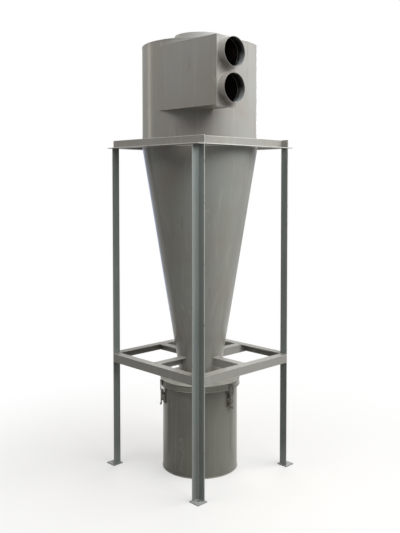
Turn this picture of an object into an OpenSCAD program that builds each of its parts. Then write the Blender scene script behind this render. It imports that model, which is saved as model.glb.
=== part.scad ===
// Cyclone dust separator on a square angle iron stand, with a dust drum under its cone.
// Millimetres. The origin is on the floor under the cyclone's axis and +Z is up. +X is the way
// the inlet pipes point, and the inlet's outer wall runs along the -Y side of the body.

/* [Body] */
// Outside diameter of the cylindrical body
body_d = 700; // [560:10:1000]
// Height of the cylindrical body with its roof plate
body_h = 605; // [500:5:900]
// Thickness of the rolled body and cone sheet
sheet_t = 2; // [1.5:0.5:4]
// Thickness of the flat roof plate
roof_t = 3; // [2:0.5:6]
// Outside diameter of the cone's lower end
cone_tip_d = 250; // [180:5:320]

/* [Outlet] */
// Outside diameter of the outlet collar on the roof
outlet_d = 305; // [220:5:400]
// Wall thickness of the outlet collar and the pipe inside
outlet_t = 2; // [1:0.5:3]
// Height of the outlet collar above the roof
outlet_rise = 70; // [30:5:200]
// Clearance between the collar's bore and the pipe that hangs inside the body
finder_gap = 2.5; // [0.5:0.5:30]
// How far that pipe reaches below the floor of the inlet
finder_dip = 30; // [0:5:80]

/* [Inlet] */
// Distance from the cyclone's axis to the face of the inlet's end plate
inlet_reach = 489; // [440:1:600]
// Step from the top of the roof down to the top of the inlet
inlet_drop = 35; // [10:1:60]
// Thickness of the inlet's side, roof and floor sheets
inlet_t = 2; // [1:0.5:3]
// Thickness of the inlet's end plate
end_plate_t = 3; // [2:0.5:6]
// Outside diameter of the two inlet pipes
pipe_d = 160; // [100:2:180]
// Wall thickness of the inlet pipes
pipe_t = 2; // [1:0.5:3]
// How far the inlet pipes stand out of the end plate
pipe_reach = 51; // [20:1:150]
// Distance between the axes of the two inlet pipes
pipe_spacing = 188; // [166:2:260]
// Width of the end plate beside the pipes
plate_side_w = 3; // [1:0.5:30]
// Distance from the pipes to the top of the inlet's roof and to the bottom of its floor
plate_end_w = 9; // [1:0.5:60]
// How far the end plate stands below the inlet's floor
plate_lip = 12; // [0:0.5:40]

/* [Stand] */
// Height from the floor to the underside of the top frame
stand_h = 1955; // [1500:5:2600]
// Height from the floor to the top of the lower frame
lower_frame_h = 695; // [660:5:900]
// Flange width of the angle iron
angle_w = 50; // [40:5:70]
// Thickness of the angle iron
angle_t = 5; // [3:0.5:8]
// Side of the square foot plates
foot_w = 70; // [60:5:120]
// Thickness of the foot plates
foot_t = 6; // [4:1:12]
// Diameter of the floor bolt hole in each foot plate
foot_hole_d = 14; // [8:1:20]

/* [Dust drum] */
// Outside diameter of the drum
drum_d = 458; // [400:2:560]
// Height from the floor to the top of the drum's lid
drum_h = 554; // [420:2:600]
// Thickness of the drum's sheet
drum_t = 2; // [1:0.5:4]
// Thickness of the drum's floor plate
drum_floor_t = 3; // [2:0.5:6]
// How far the floor plate stands out of the drum's wall
floor_lip_w = 3; // [0:0.5:10]
// How far the drum's top rim stands out of its wall
rim_w = 11; // [6:0.5:20]
// Thickness of the drum's top rim
rim_t = 4; // [2:0.5:8]
// Clearance between the rim and the lid's skirt
rim_gap = 1; // [0.5:0.5:5]
// Height of the lid's skirt
skirt_h = 39; // [25:1:60]
// Radius of the rolled hem along the skirt's lower edge
hem_r = 3; // [2:0.5:4]
// How far the cone's lower end stands above the lid
spout_rise = 21; // [10:1:60]
// How far the spout reaches into the drum
spout_dip = 15; // [5:1:40]

/* [Toggle latches] */
// Direction of the first latch, in degrees from +X
latch_turn = 5; // [-30:5:30]
// Width of a latch's base plate
latch_w = 36; // [30:1:60]
// Length of a latch's lever
lever_l = 94; // [70:2:140]
// Radius of the latch's wire loop
wire_r = 2.5; // [1.5:0.5:2.5]

/* [Hidden] */
$fn = 96;
// Finer facets where a small plate is curved to the drum
seat_fn = 720;

// Clearance left at a welded seat, and how far a cutter runs past the face that it cuts
weld_gap = 0.3;
over = 1;

// Body and outlet
body_r = body_d / 2;
body_inner_r = body_r - sheet_t;
body_z0 = stand_h;
body_z1 = stand_h + body_h;
outlet_r = outlet_d / 2;
finder_r = outlet_r - outlet_t - finder_gap;

// Inlet: its end plate takes the two pipes, and its sheets end at the plate's margins
inlet_w = pipe_d + 2 * plate_side_w;
inlet_h = pipe_spacing + pipe_d + 2 * plate_end_w;
inlet_z1 = body_z1 - inlet_drop;
inlet_z0 = inlet_z1 - inlet_h;
inlet_y0 = -body_r;
inlet_y1 = inlet_y0 + inlet_w;
inlet_sheet_x1 = inlet_reach - end_plate_t;
pipe_y = (inlet_y0 + inlet_y1) / 2;
pipe_z = (inlet_z0 + inlet_z1) / 2;
pipe_r = pipe_d / 2;
pipe_bore_r = pipe_r - pipe_t;
finder_z0 = inlet_z0 - finder_dip;
// The inlet's roof and floor start where the wedge beside the body is this thick
wedge_t = 1;
wedge_x = sqrt(pow(body_inner_r, 2) - pow(body_inner_r - wedge_t, 2));

// Stand: the backs of the angle irons face the body, and their free edges face outward
frame_in = body_r + weld_gap;
frame_out = frame_in + angle_w;
foot_center = frame_in + angle_w / 2;
foot_hole_at = frame_in + (angle_w + angle_t) / 2;

// Cone, drum and lid
cone_tip_r = cone_tip_d / 2;
cone_z0 = drum_h + spout_rise;
drum_r = drum_d / 2;
drum_wall_z1 = drum_h - drum_t - rim_t;
rim_r = drum_r + rim_w;
skirt_r = rim_r + rim_gap + drum_t;
skirt_z0 = drum_h - skirt_h;

// Toggle latches: the hook on the lid's skirt
latch_count = 3;
latch_turns = [for (i = [0 : latch_count - 1]) latch_turn + 360 / latch_count * i];
plate_t = 4;
catch_w = 24;
catch_h = 22;
catch_drop = 8;
catch_z1 = drum_h - catch_drop;
catch_z0 = catch_z1 - catch_h;
nose_w = 16;
nose_t = 6;
nose_reach = 12;
lip_t = 3;
lip_h = 5;

// The wire loop that lies behind the hook's lip
loop_r = skirt_r + nose_reach - lip_t - wire_r - weld_gap;
loop_z = catch_z1 + wire_r + weld_gap;
loop_y = catch_w / 2 + wire_r;

// The lever, which hangs from the loop and turns on a pivot in front of the drum's wall
lever_drop = 62;
lever_w = 22;
lever_z1 = drum_h - lever_drop;
lever_z0 = lever_z1 - lever_l;
lever_joint_drop = 8;
lever_joint_z = lever_z1 - lever_joint_drop;
finger_lip = 9;
pivot_r = 4;
pivot_reach = 12;
pivot_drop = 42;
pivot_x = drum_r + pivot_reach;
pivot_z = lever_z1 - pivot_drop;

// The base plate and the ears that hold the pivot
ear_t = 3;
ear_gap = 1.5;
ear_y = lever_w / 2 + ear_gap;
ear_h = 26;
base_below_pivot = 42;
base_above_pivot = 20;
base_z0 = pivot_z - base_below_pivot;
base_z1 = pivot_z + base_above_pivot;

enamel = [0.53, 0.54, 0.49];
shaded_enamel = [0.43, 0.45, 0.41];
drum_enamel = [0.45, 0.46, 0.42];
dark_steel = [0.24, 0.25, 0.24];

// A tube on the Z axis
module tube(outer_r, inner_r, z0, z1) {
    translate([0, 0, z0])
        difference() {
            cylinder(r = outer_r, h = z1 - z0);
            translate([0, 0, -over]) cylinder(r = inner_r, h = z1 - z0 + 2 * over);
        }
}

// The section of an angle iron with its heel at the origin and a flange along each axis
module angle_section(side, up) {
    polygon([
        [0, 0], [side * angle_w, 0], [side * angle_w, up * angle_t],
        [side * angle_t, up * angle_t], [side * angle_t, up * angle_w], [0, up * angle_w]
    ]);
}

// Runs a section drawn in the YZ plane along X
module along_x(x0, x1) {
    translate([x0, 0, 0]) rotate([90, 0, 90]) linear_extrude(x1 - x0) children();
}

// A round rod between two points of one XZ plane
module rod_xz(from_x, from_z, to_x, to_z, y, r) {
    run = sqrt(pow(to_x - from_x, 2) + pow(to_z - from_z, 2));
    translate([from_x, y, from_z])
        rotate([0, atan2(to_x - from_x, to_z - from_z), 0]) cylinder(r = r, h = run, $fn = 32);
}

// A round rod across the latch, along Y
module rod_y(x, z, half, r) {
    translate([x, half, z]) rotate([90, 0, 0]) cylinder(r = r, h = 2 * half, $fn = 32);
}

// The whole inlet block, used to cut the window in the body
module inlet_block() {
    translate([0, inlet_y0 - over, inlet_z0])
        cube([inlet_reach, inlet_w + over, inlet_h]);
}

module cylinder_shell() {
    color(enamel)
        difference() {
            tube(body_r, body_inner_r, body_z0, body_z1 - roof_t);
            inlet_block();
        }
}

module roof_plate() {
    color(enamel) tube(body_r, finder_r + weld_gap, body_z1 - roof_t, body_z1);
}

module outlet_collar() {
    color(enamel) tube(outlet_r, outlet_r - outlet_t, body_z1, body_z1 + outlet_rise);
}

module vortex_finder() {
    color(shaded_enamel) tube(finder_r, finder_r - outlet_t, finder_z0, body_z1);
}

module cone_shell() {
    color(enamel)
        rotate_extrude()
            polygon([
                [cone_tip_r - sheet_t, cone_z0], [cone_tip_r, cone_z0],
                [body_r, body_z0], [body_inner_r, body_z0]
            ]);
}

module cone_spout() {
    color(enamel) tube(cone_tip_r, cone_tip_r - sheet_t, drum_h - spout_dip, cone_z0);
}

module inlet_outer_wall() {
    color(enamel)
        translate([0, inlet_y0, inlet_z0]) cube([inlet_sheet_x1, inlet_t, inlet_h]);
}

module inlet_inner_wall() {
    color(enamel)
        difference() {
            translate([0, inlet_y1 - inlet_t, inlet_z0 + inlet_t])
                cube([inlet_sheet_x1, inlet_t, inlet_h - 2 * inlet_t]);
            translate([0, 0, inlet_z0]) cylinder(r = body_inner_r, h = inlet_h);
        }
}

// The inlet's roof or floor sheet, fitted round the body
module inlet_flat(z) {
    color(enamel)
        difference() {
            translate([wedge_x, inlet_y0 + inlet_t, z])
                cube([inlet_sheet_x1 - wedge_x, inlet_w - inlet_t, inlet_t]);
            translate([0, 0, z - over]) cylinder(r = body_inner_r, h = inlet_t + 2 * over);
        }
}

// Places something drawn along +Z on the axis of one inlet pipe, from the end plate's face
module on_pipe_axis(side) {
    translate([inlet_reach, pipe_y, pipe_z + side * pipe_spacing / 2])
        rotate([0, 90, 0]) children();
}

module inlet_end_plate() {
    color(enamel)
        difference() {
            translate([inlet_sheet_x1, inlet_y0, inlet_z0 - plate_lip])
                cube([end_plate_t, inlet_w, inlet_h + plate_lip]);
            for (side = [-1, 1])
                on_pipe_axis(side)
                    translate([0, 0, -end_plate_t - over])
                        cylinder(r = pipe_bore_r + weld_gap, h = end_plate_t + 2 * over);
        }
}

// A stub pipe, welded on the face of the end plate round the plate's hole
module inlet_pipe(side) {
    color(enamel) on_pipe_axis(side) tube(pipe_r, pipe_bore_r, 0, pipe_reach);
}

// One side of the top frame. The front and back sides run full length, the others between them
module top_beam(quarter) {
    half = quarter % 2 == 0 ? frame_out : frame_in;
    color(enamel)
        rotate(90 * quarter)
            along_x(-half, half) translate([-frame_in, stand_h]) angle_section(-1, 1);
}

// One side of the lower frame, between two posts
module lower_beam(quarter) {
    color(enamel)
        rotate(90 * quarter)
            along_x(-frame_in, frame_in)
                translate([-frame_out, lower_frame_h]) angle_section(1, -1);
}

module post(quarter) {
    color(shaded_enamel)
        rotate(90 * quarter)
            translate([frame_in, -frame_in, foot_t])
                linear_extrude(stand_h - foot_t) angle_section(1, -1);
}

module foot(quarter) {
    color(shaded_enamel)
        rotate(90 * quarter)
            difference() {
                translate([foot_center - foot_w / 2, -foot_center - foot_w / 2, 0])
                    cube([foot_w, foot_w, foot_t]);
                translate([foot_hole_at, -foot_hole_at, -over])
                    cylinder(d = foot_hole_d, h = foot_t + 2 * over);
            }
}

// A bar of the lower frame's cross, from the cone out to the middle of one side. Its standing
// flange runs on under the side's flat flange.
module cross_bar(quarter) {
    color(enamel)
        rotate(90 * quarter)
            difference() {
                union() {
                    along_x(0, frame_in)
                        translate([-angle_w / 2, lower_frame_h]) angle_section(1, -1);
                    translate([frame_in - over, -angle_w / 2, lower_frame_h - angle_w])
                        cube([angle_w - angle_t + over, angle_t, angle_w - angle_t]);
                }
                translate([0, 0, cone_z0])
                    cylinder(r1 = cone_tip_r + weld_gap, r2 = body_r + weld_gap,
                             h = body_z0 - cone_z0);
            }
}

module drum_wall() {
    color(drum_enamel) tube(drum_r, drum_r - drum_t, drum_floor_t, drum_wall_z1);
}

module drum_floor() {
    color(drum_enamel) cylinder(r = drum_r + floor_lip_w, h = drum_floor_t);
}

module drum_rim() {
    color(drum_enamel) tube(rim_r, drum_r - drum_t, drum_wall_z1, drum_h - drum_t);
}

module drum_lid() {
    color(drum_enamel)
        union() {
            tube(skirt_r, cone_tip_r + weld_gap, drum_h - drum_t, drum_h);
            tube(skirt_r, skirt_r - drum_t, skirt_z0, drum_h);
            translate([0, 0, skirt_z0])
                rotate_extrude() translate([skirt_r - drum_t / 2, 0]) circle(r = hem_r, $fn = 24);
        }
}

// The fixed hook on the lid's skirt, drawn on +X
module latch_catch(turn) {
    color(dark_steel)
        rotate(turn)
            difference() {
                union() {
                    translate([skirt_r - plate_t, -catch_w / 2, catch_z0])
                        cube([2 * plate_t, catch_w, catch_z1 - catch_z0]);
                    translate([skirt_r - plate_t, -nose_w / 2, catch_z1 - nose_t])
                        cube([nose_reach + plate_t, nose_w, nose_t]);
                    translate([skirt_r + nose_reach - lip_t, -nose_w / 2, catch_z1 - nose_t])
                        cube([lip_t, nose_w, nose_t + lip_h]);
                }
                cylinder(r = skirt_r + weld_gap, h = drum_h + over, $fn = seat_fn);
            }
}

// The base plate with its two ears, curved to the drum's wall
module latch_base() {
    difference() {
        union() {
            translate([drum_r - plate_t, -latch_w / 2, base_z0])
                cube([2 * plate_t, latch_w, base_z1 - base_z0]);
            for (side = [-1, 1])
                translate([drum_r, side > 0 ? ear_y : -ear_y - ear_t, pivot_z - ear_h / 2])
                    cube([pivot_x + 2 * pivot_r - drum_r, ear_t, ear_h]);
        }
        cylinder(r = drum_r + weld_gap, h = drum_h + over, $fn = seat_fn);
    }
}

// The lever with its pivot, and the wire loop that it pulls over the hook
module latch_lever() {
    lever_x = loop_r - plate_t / 2;
    translate([lever_x, -lever_w / 2, lever_z0]) cube([plate_t, lever_w, lever_l]);
    translate([lever_x, -lever_w / 2, lever_z0]) cube([finger_lip, lever_w, plate_t]);
    translate([pivot_x - pivot_r, -lever_w / 2, pivot_z - pivot_r])
        cube([lever_x - pivot_x + pivot_r + over, lever_w, 2 * pivot_r]);
    rod_y(pivot_x, pivot_z, ear_y + ear_t + over, pivot_r);
    rod_y(loop_r, lever_joint_z, loop_y, wire_r);
    rod_y(loop_r, loop_z, loop_y, wire_r);
    for (side = [-1, 1])
        rod_xz(loop_r, lever_joint_z - wire_r, loop_r, loop_z + wire_r, side * loop_y, wire_r);
}

module latch(turn) {
    color(dark_steel)
        rotate(turn)
            union() {
                latch_base();
                latch_lever();
            }
}

cylinder_shell();
roof_plate();
outlet_collar();
vortex_finder();
cone_shell();
cone_spout();
inlet_outer_wall();
inlet_inner_wall();
inlet_flat(inlet_z1 - inlet_t);  // inlet_roof
inlet_flat(inlet_z0);  // inlet_floor
inlet_end_plate();
inlet_pipe(1);  // inlet_pipe_upper
inlet_pipe(-1);  // inlet_pipe_lower
top_beam(0);  // top_beam_front
top_beam(1);  // top_beam_right
top_beam(2);  // top_beam_back
top_beam(3);  // top_beam_left
lower_beam(0);  // lower_beam_front
lower_beam(1);  // lower_beam_right
lower_beam(2);  // lower_beam_back
lower_beam(3);  // lower_beam_left
post(0);  // post_front_right
post(1);  // post_back_right
post(2);  // post_back_left
post(3);  // post_front_left
foot(0);  // foot_front_right
foot(1);  // foot_back_right
foot(2);  // foot_back_left
foot(3);  // foot_front_left
cross_bar(0);  // cross_bar_right
cross_bar(1);  // cross_bar_back
cross_bar(2);  // cross_bar_left
cross_bar(3);  // cross_bar_front
drum_wall();
drum_floor();
drum_rim();
drum_lid();
latch(latch_turns[0]);  // latch_right
latch(latch_turns[1]);  // latch_back
latch(latch_turns[2]);  // latch_left
latch_catch(latch_turns[0]);  // latch_catch_right
latch_catch(latch_turns[1]);  // latch_catch_back
latch_catch(latch_turns[2]);  // latch_catch_left
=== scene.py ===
"""Looks of a cyclone dust separator on its angle iron stand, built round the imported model.

Everything is in metres in the model's own frame: the origin is on the floor under the cyclone's
axis, +Z is up, +X is the way the inlet pipes point and the inlet's outer wall lies on -Y.
"""

import logging
import math
import random
from dataclasses import dataclass, field
from enum import Enum
from typing import Callable, Iterable, Optional, Sequence, Union

import bmesh
import bpy
from mathutils import Matrix, Vector, noise


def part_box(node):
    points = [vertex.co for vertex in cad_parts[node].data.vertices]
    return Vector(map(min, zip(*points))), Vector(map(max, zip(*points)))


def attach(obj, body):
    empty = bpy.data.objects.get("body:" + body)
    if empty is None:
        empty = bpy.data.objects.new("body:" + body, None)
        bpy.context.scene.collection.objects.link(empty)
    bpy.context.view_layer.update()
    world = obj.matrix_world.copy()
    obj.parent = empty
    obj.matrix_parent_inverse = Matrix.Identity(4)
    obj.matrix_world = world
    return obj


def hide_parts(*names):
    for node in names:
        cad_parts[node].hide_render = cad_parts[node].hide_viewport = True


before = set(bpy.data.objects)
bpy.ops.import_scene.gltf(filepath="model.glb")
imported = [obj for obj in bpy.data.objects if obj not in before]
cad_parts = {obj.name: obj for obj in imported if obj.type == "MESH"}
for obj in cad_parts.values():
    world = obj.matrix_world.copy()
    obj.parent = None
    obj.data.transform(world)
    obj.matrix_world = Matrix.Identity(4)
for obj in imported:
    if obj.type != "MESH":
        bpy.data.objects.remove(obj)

Colour = tuple[float, float, float, float]
Triple = tuple[float, float, float]
Vert = bmesh.types.BMVert
Edge = bmesh.types.BMEdge
Face = bmesh.types.BMFace
Socket = bpy.types.NodeSocket
Source = Union[Socket, float, Sequence[float]]

LOG = logging.getLogger("cyclone")
MM = 0.001
MERGE = 1e-6
NOISE_SEED = 7
ORIGIN = Vector((0.0, 0.0, 0.0))
X = Vector((1.0, 0.0, 0.0))
Y = Vector((0.0, 1.0, 0.0))
Z = Vector((0.0, 0.0, 1.0))
BODY = "root"
PIPES = ("upper", "lower")


class Side(Enum):
    """A side of the square stand, as the number of quarter turns from the front."""

    FRONT = 0
    RIGHT = 1
    BACK = 2
    LEFT = 3

    @property
    def label(self) -> str:
        """The side's name in the names of nodes."""
        return self.name.lower()

    @property
    def turn(self) -> Matrix:
        """The turn that takes the front side to this one."""
        return Matrix.Rotation(self.value * math.pi / 2, 4, "Z")


CORNERS = {
    Side.FRONT: "front_right",
    Side.RIGHT: "back_right",
    Side.BACK: "back_left",
    Side.LEFT: "front_left",
}


class Slot(Enum):
    """The record's material slots, each with a finish of the same name."""

    BODY = "body_enamel"
    INNER = "inner_sheet"
    FRAME = "frame_enamel"
    POST = "post_enamel"
    DRUM = "drum_enamel"
    LATCH = "latch_steel"


class Finish(Enum):
    """The finishes that show on some faces or some pieces of a slot."""

    CONE = "cone_shaded_enamel"
    COLLAR = "collar_lit_enamel"
    # The inner faces take the near-black sheet as painted shade
    INSIDE = "inner_sheet"
    PIPE_MOUTH = "pipe_mouth"


def srgb(red: float, green: float, blue: float) -> Colour:
    """Turns a colour as the eye reads it, 0 to 255, into the linear one that shaders take.

    Args:
        red: The red part.
        green: The green part.
        blue: The blue part.

    Returns:
        The linear colour with an alpha of 1.
    """
    def straight(part: float) -> float:
        """Undoes the display curve for one part."""
        share = part / 255
        return share / 12.92 if share <= 0.04045 else ((share + 0.055) / 1.055) ** 2.4

    return straight(red), straight(green), straight(blue), 1.0


class Wiring:
    """Adds and joins the nodes of one tree."""

    def __init__(self, tree: bpy.types.NodeTree) -> None:
        """Takes the tree that the nodes go into."""
        self.tree = tree

    def add(self, kind: str, **values: object) -> bpy.types.Node:
        """Adds a node.

        Args:
            kind: Blender's name for the kind of node.
            values: Properties to set on it.

        Returns:
            The node.
        """
        node = self.tree.nodes.new(kind)
        for key, value in values.items():
            setattr(node, key, value)
        return node

    def feed(self, socket: Socket, source: Source) -> None:
        """Joins a socket to another, or sets its value.

        Args:
            socket: The socket that takes the value.
            source: A socket, a number or a colour.
        """
        if isinstance(source, Socket):
            self.tree.links.new(source, socket)
        else:
            socket.default_value = source

    def math(self, operation: str, first: Source, second: Source) -> Socket:
        """Joins two values by a sum, product or the like.

        Args:
            operation: Blender's name for it.
            first: A socket or a number.
            second: A socket or a number.

        Returns:
            The result.
        """
        node = self.add("ShaderNodeMath", operation=operation)
        self.feed(node.inputs[0], first)
        self.feed(node.inputs[1], second)
        return node.outputs[0]

    def either(self, share: Source, first: Socket, second: Socket) -> Socket:
        """Mixes two shaders.

        Args:
            share: How much of the second shows, 0 to 1.
            first: The one shader.
            second: The other shader.

        Returns:
            The mixed shader.
        """
        node = self.add("ShaderNodeMixShader")
        for socket, source in zip(node.inputs, (share, first, second)):
            self.feed(socket, source)
        return node.outputs[0]

    def seen(self, mirrored: float) -> Socket:
        """Tells whether the camera sees the surface, straight or through glass, or in gloss.

        Args:
            mirrored: How much of it shows in gloss.

        Returns:
            A value from 0 to 1.
        """
        rays = self.add("ShaderNodeLightPath").outputs
        straight = self.math("MAXIMUM", rays["Is Camera Ray"], rays["Is Transmission Ray"])
        return self.math("MAXIMUM", straight, self.math("MULTIPLY", rays["Is Glossy Ray"], mirrored))


class Coating(Wiring):
    """The nodes of one material round its Principled shader."""

    def __init__(self, name: str) -> None:
        """Starts the material.

        Args:
            name: The material's name.
        """
        self.material = bpy.data.materials.new(name)
        self.material.use_nodes = True
        super().__init__(self.material.node_tree)
        self.shader = self.tree.nodes["Principled BSDF"]
        self.place = self.add("ShaderNodeTexCoord").outputs["Object"]

    def put(self, name: str, source: Source) -> None:
        """Feeds the shader's own socket of that name."""
        self.feed(self.shader.inputs[name], source)

    def stretched(self, scale: Triple) -> Socket:
        """Gives the object coordinates, each multiplied by its own scale.

        Args:
            scale: The scales along X, Y and Z.

        Returns:
            The coordinates.
        """
        node = self.add("ShaderNodeMapping")
        self.feed(node.inputs["Vector"], self.place)
        self.feed(node.inputs["Scale"], scale)
        return node.outputs["Vector"]

    def grain(self, scale: float, detail: float = 2.0, vector: Optional[Socket] = None,
              distortion: float = 0.0) -> Socket:
        """Adds a noise.

        Args:
            scale: How fine it is, in bumps per metre.
            detail: How many finer layers it has.
            vector: The coordinates it reads, or None for the plain object coordinates.
            distortion: How far it is swirled.

        Returns:
            The noise's value from 0 to 1.
        """
        node = self.add("ShaderNodeTexNoise")
        self.feed(node.inputs["Vector"], self.place if vector is None else vector)
        self.feed(node.inputs["Scale"], scale)
        self.feed(node.inputs["Detail"], detail)
        self.feed(node.inputs["Distortion"], distortion)
        return node.outputs[0]

    def span(self, value: Socket, low: float, high: float, out_low: float = 0.0,
             out_high: float = 1.0) -> Socket:
        """Maps a value's range to another, held at both ends.

        Args:
            value: The value.
            low: Its value that gives out_low.
            high: Its value that gives out_high.
            out_low: The result at low.
            out_high: The result at high.

        Returns:
            The mapped value.
        """
        node = self.add("ShaderNodeMapRange", interpolation_type="SMOOTHSTEP")
        for index, source in enumerate((value, low, high, out_low, out_high)):
            self.feed(node.inputs[index], source)
        return node.outputs[0]

    def blend(self, share: Source, first: Source, second: Source) -> Socket:
        """Mixes two colours.

        Args:
            share: How much of the second shows, 0 to 1.
            first: A socket or a colour.
            second: A socket or a colour.

        Returns:
            The mixed colour.
        """
        node = self.add("ShaderNodeMix", data_type="RGBA")
        self.feed(node.inputs[0], share)
        self.feed(node.inputs[6], first)
        self.feed(node.inputs[7], second)
        return node.outputs[2]

    def over(self, base: Source, colour: Colour, mask: Socket, share: Source) -> Socket:
        """Lays a colour over another where a mask is high.

        Args:
            base: What lies under it, a socket or a colour.
            colour: The colour.
            mask: Where it lies, from 0 to 1.
            share: How much of it shows where the mask is 1.

        Returns:
            The mixed colour.
        """
        return self.blend(self.math("MULTIPLY", mask, share), base, colour)

    def facing(self, way: Triple = (0.0, 0.0, 1.0), low: float = 0.55, high: float = 0.95) -> Socket:
        """Gives how far the surface faces one way, which is up if none is named.

        Args:
            way: The direction, of length 1.
            low: The cosine of the angle to it that counts as 0.
            high: The cosine that counts as 1.

        Returns:
            A value from 0 to 1.
        """
        cosine = self.add("ShaderNodeVectorMath", operation="DOT_PRODUCT")
        self.feed(cosine.inputs[0], self.add("ShaderNodeNewGeometry").outputs["Normal"])
        self.feed(cosine.inputs[1], way)
        return self.span(cosine.outputs["Value"], low, high)

    def edges(self, low: float, high: float) -> Socket:
        """Gives where the surface is a sharp outer edge, from 0 to 1."""
        pointed = self.add("ShaderNodeNewGeometry").outputs["Pointiness"]
        return self.span(pointed, low, high)

    def bumps(self, layers: Sequence[tuple[Socket, float, float]]) -> None:
        """Stacks bumps on the shader's normal.

        Args:
            layers: Each bump's height, strength, and full depth in metres.
        """
        normal = None
        for height, strength, depth in layers:
            node = self.add("ShaderNodeBump")
            self.feed(node.inputs["Strength"], strength)
            self.feed(node.inputs["Distance"], depth)
            self.feed(node.inputs["Height"], height)
            if normal is not None:
                self.feed(node.inputs["Normal"], normal)
            normal = node.outputs["Normal"]
        self.put("Normal", normal)


@dataclass(frozen=True)
class Enamel:
    """A semi-gloss sprayed enamel on steel, with the small marks of a workshop.

    The shares from mottle to chipped say how much of each mark shows where it is strongest. The lightened
    edges are partly worn paint and partly a painted highlight.
    """

    name: str
    colour: Colour
    tint: Colour
    dust: Colour = srgb(166, 162, 152)
    worn: Colour = srgb(188, 187, 180)
    stain: Colour = srgb(92, 80, 64)
    chip: Colour = srgb(74, 56, 44)
    roughness: float = 0.34
    scuff_roughness: float = 0.16
    coat: float = 0.45
    coat_roughness: float = 0.17
    mottle: float = 0.55
    streaked: float = 0.17
    stained: float = 0.52
    specked: float = 0.35
    scuffed: float = 0.32
    dusted: float = 0.30
    edge_wear_and_highlight: float = 0.6
    chipped: float = 0.5

    def make(self) -> bpy.types.Material:
        """Makes the material.

        Returns:
            The material.
        """
        nodes = Coating(self.name)
        clouds = nodes.grain(2.6, 4.0, distortion=0.6)
        streaks = nodes.grain(1.0, 3.0, nodes.stretched((34.0, 34.0, 1.1)))
        specks = nodes.grain(420.0, 1.0)
        scuffs = nodes.grain(26.0, 5.0, nodes.stretched((1.0, 1.0, 0.35)), 1.4)
        patches = nodes.grain(5.0, 3.0)
        flakes = nodes.grain(38.0, 4.0)
        orange_peel = nodes.grain(520.0, 2.0)
        rolled = nodes.grain(9.0, 1.0, nodes.stretched((1.0, 1.0, 0.45)))

        runs = nodes.math("MULTIPLY", nodes.span(streaks, 0.44, 0.20), nodes.span(patches, 0.50, 0.72))
        rubs = nodes.math("MULTIPLY", nodes.span(scuffs, 0.60, 0.74), nodes.span(patches, 0.46, 0.60))
        chips = nodes.math("MULTIPLY", nodes.edges(0.53, 0.60), nodes.span(flakes, 0.63, 0.70))
        marks = (
            (self.tint, nodes.span(clouds, 0.35, 0.68), self.mottle),
            (self.worn, nodes.span(streaks, 0.52, 0.78), self.streaked),
            (self.stain, runs, self.stained),
            (self.stain, nodes.span(specks, 0.70, 0.80), self.specked),
            (self.worn, rubs, self.scuffed),
            (self.dust, nodes.facing(), self.dusted),
            # Sharp edges take the worn colour, partly as worn paint and partly as a painted highlight
            (self.worn, nodes.edges(0.53, 0.61), self.edge_wear_and_highlight),
            (self.chip, chips, self.chipped),
        )
        base = self.colour
        for colour, mask, share in marks:
            base = nodes.over(base, colour, mask, share)
        nodes.put("Base Color", base)

        rough = nodes.span(clouds, 0.30, 0.72, self.roughness - 0.05, self.roughness + 0.06)
        nodes.put("Roughness", nodes.math("ADD", rough, nodes.math("MULTIPLY", rubs, self.scuff_roughness)))
        nodes.put("Coat Weight", self.coat)
        nodes.put("Coat Roughness", self.coat_roughness)
        nodes.bumps([(rolled, 0.30, 0.0016), (orange_peel, 0.22, 0.00025), (scuffs, 0.08, 0.0003)])
        return nodes.material


@dataclass(frozen=True)
class DarkSheet:
    """Steel sheet inside the pipes and hollows, painted near black as shade, with rust blotches."""

    name: str
    # Near black as painted shade, where the sheet lies inside a hollow
    colour: Colour = srgb(26, 25, 22)
    rust: Colour = srgb(44, 35, 27)
    roughness: float = 0.62
    specular: float = 0.2

    def make(self) -> bpy.types.Material:
        """Makes the material.

        Returns:
            The material.
        """
        nodes = Coating(self.name)
        blotches = nodes.grain(14.0, 5.0, distortion=0.8)
        grit = nodes.grain(260.0, 2.0)
        nodes.put("Base Color", nodes.blend(nodes.span(blotches, 0.45, 0.70), self.colour, self.rust))
        nodes.put("Roughness", nodes.span(blotches, 0.3, 0.7, self.roughness - 0.1, self.roughness + 0.12))
        nodes.put("Specular IOR Level", self.specular)
        nodes.bumps([(blotches, 0.25, 0.001), (grit, 0.35, 0.0004)])
        return nodes.material


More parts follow.
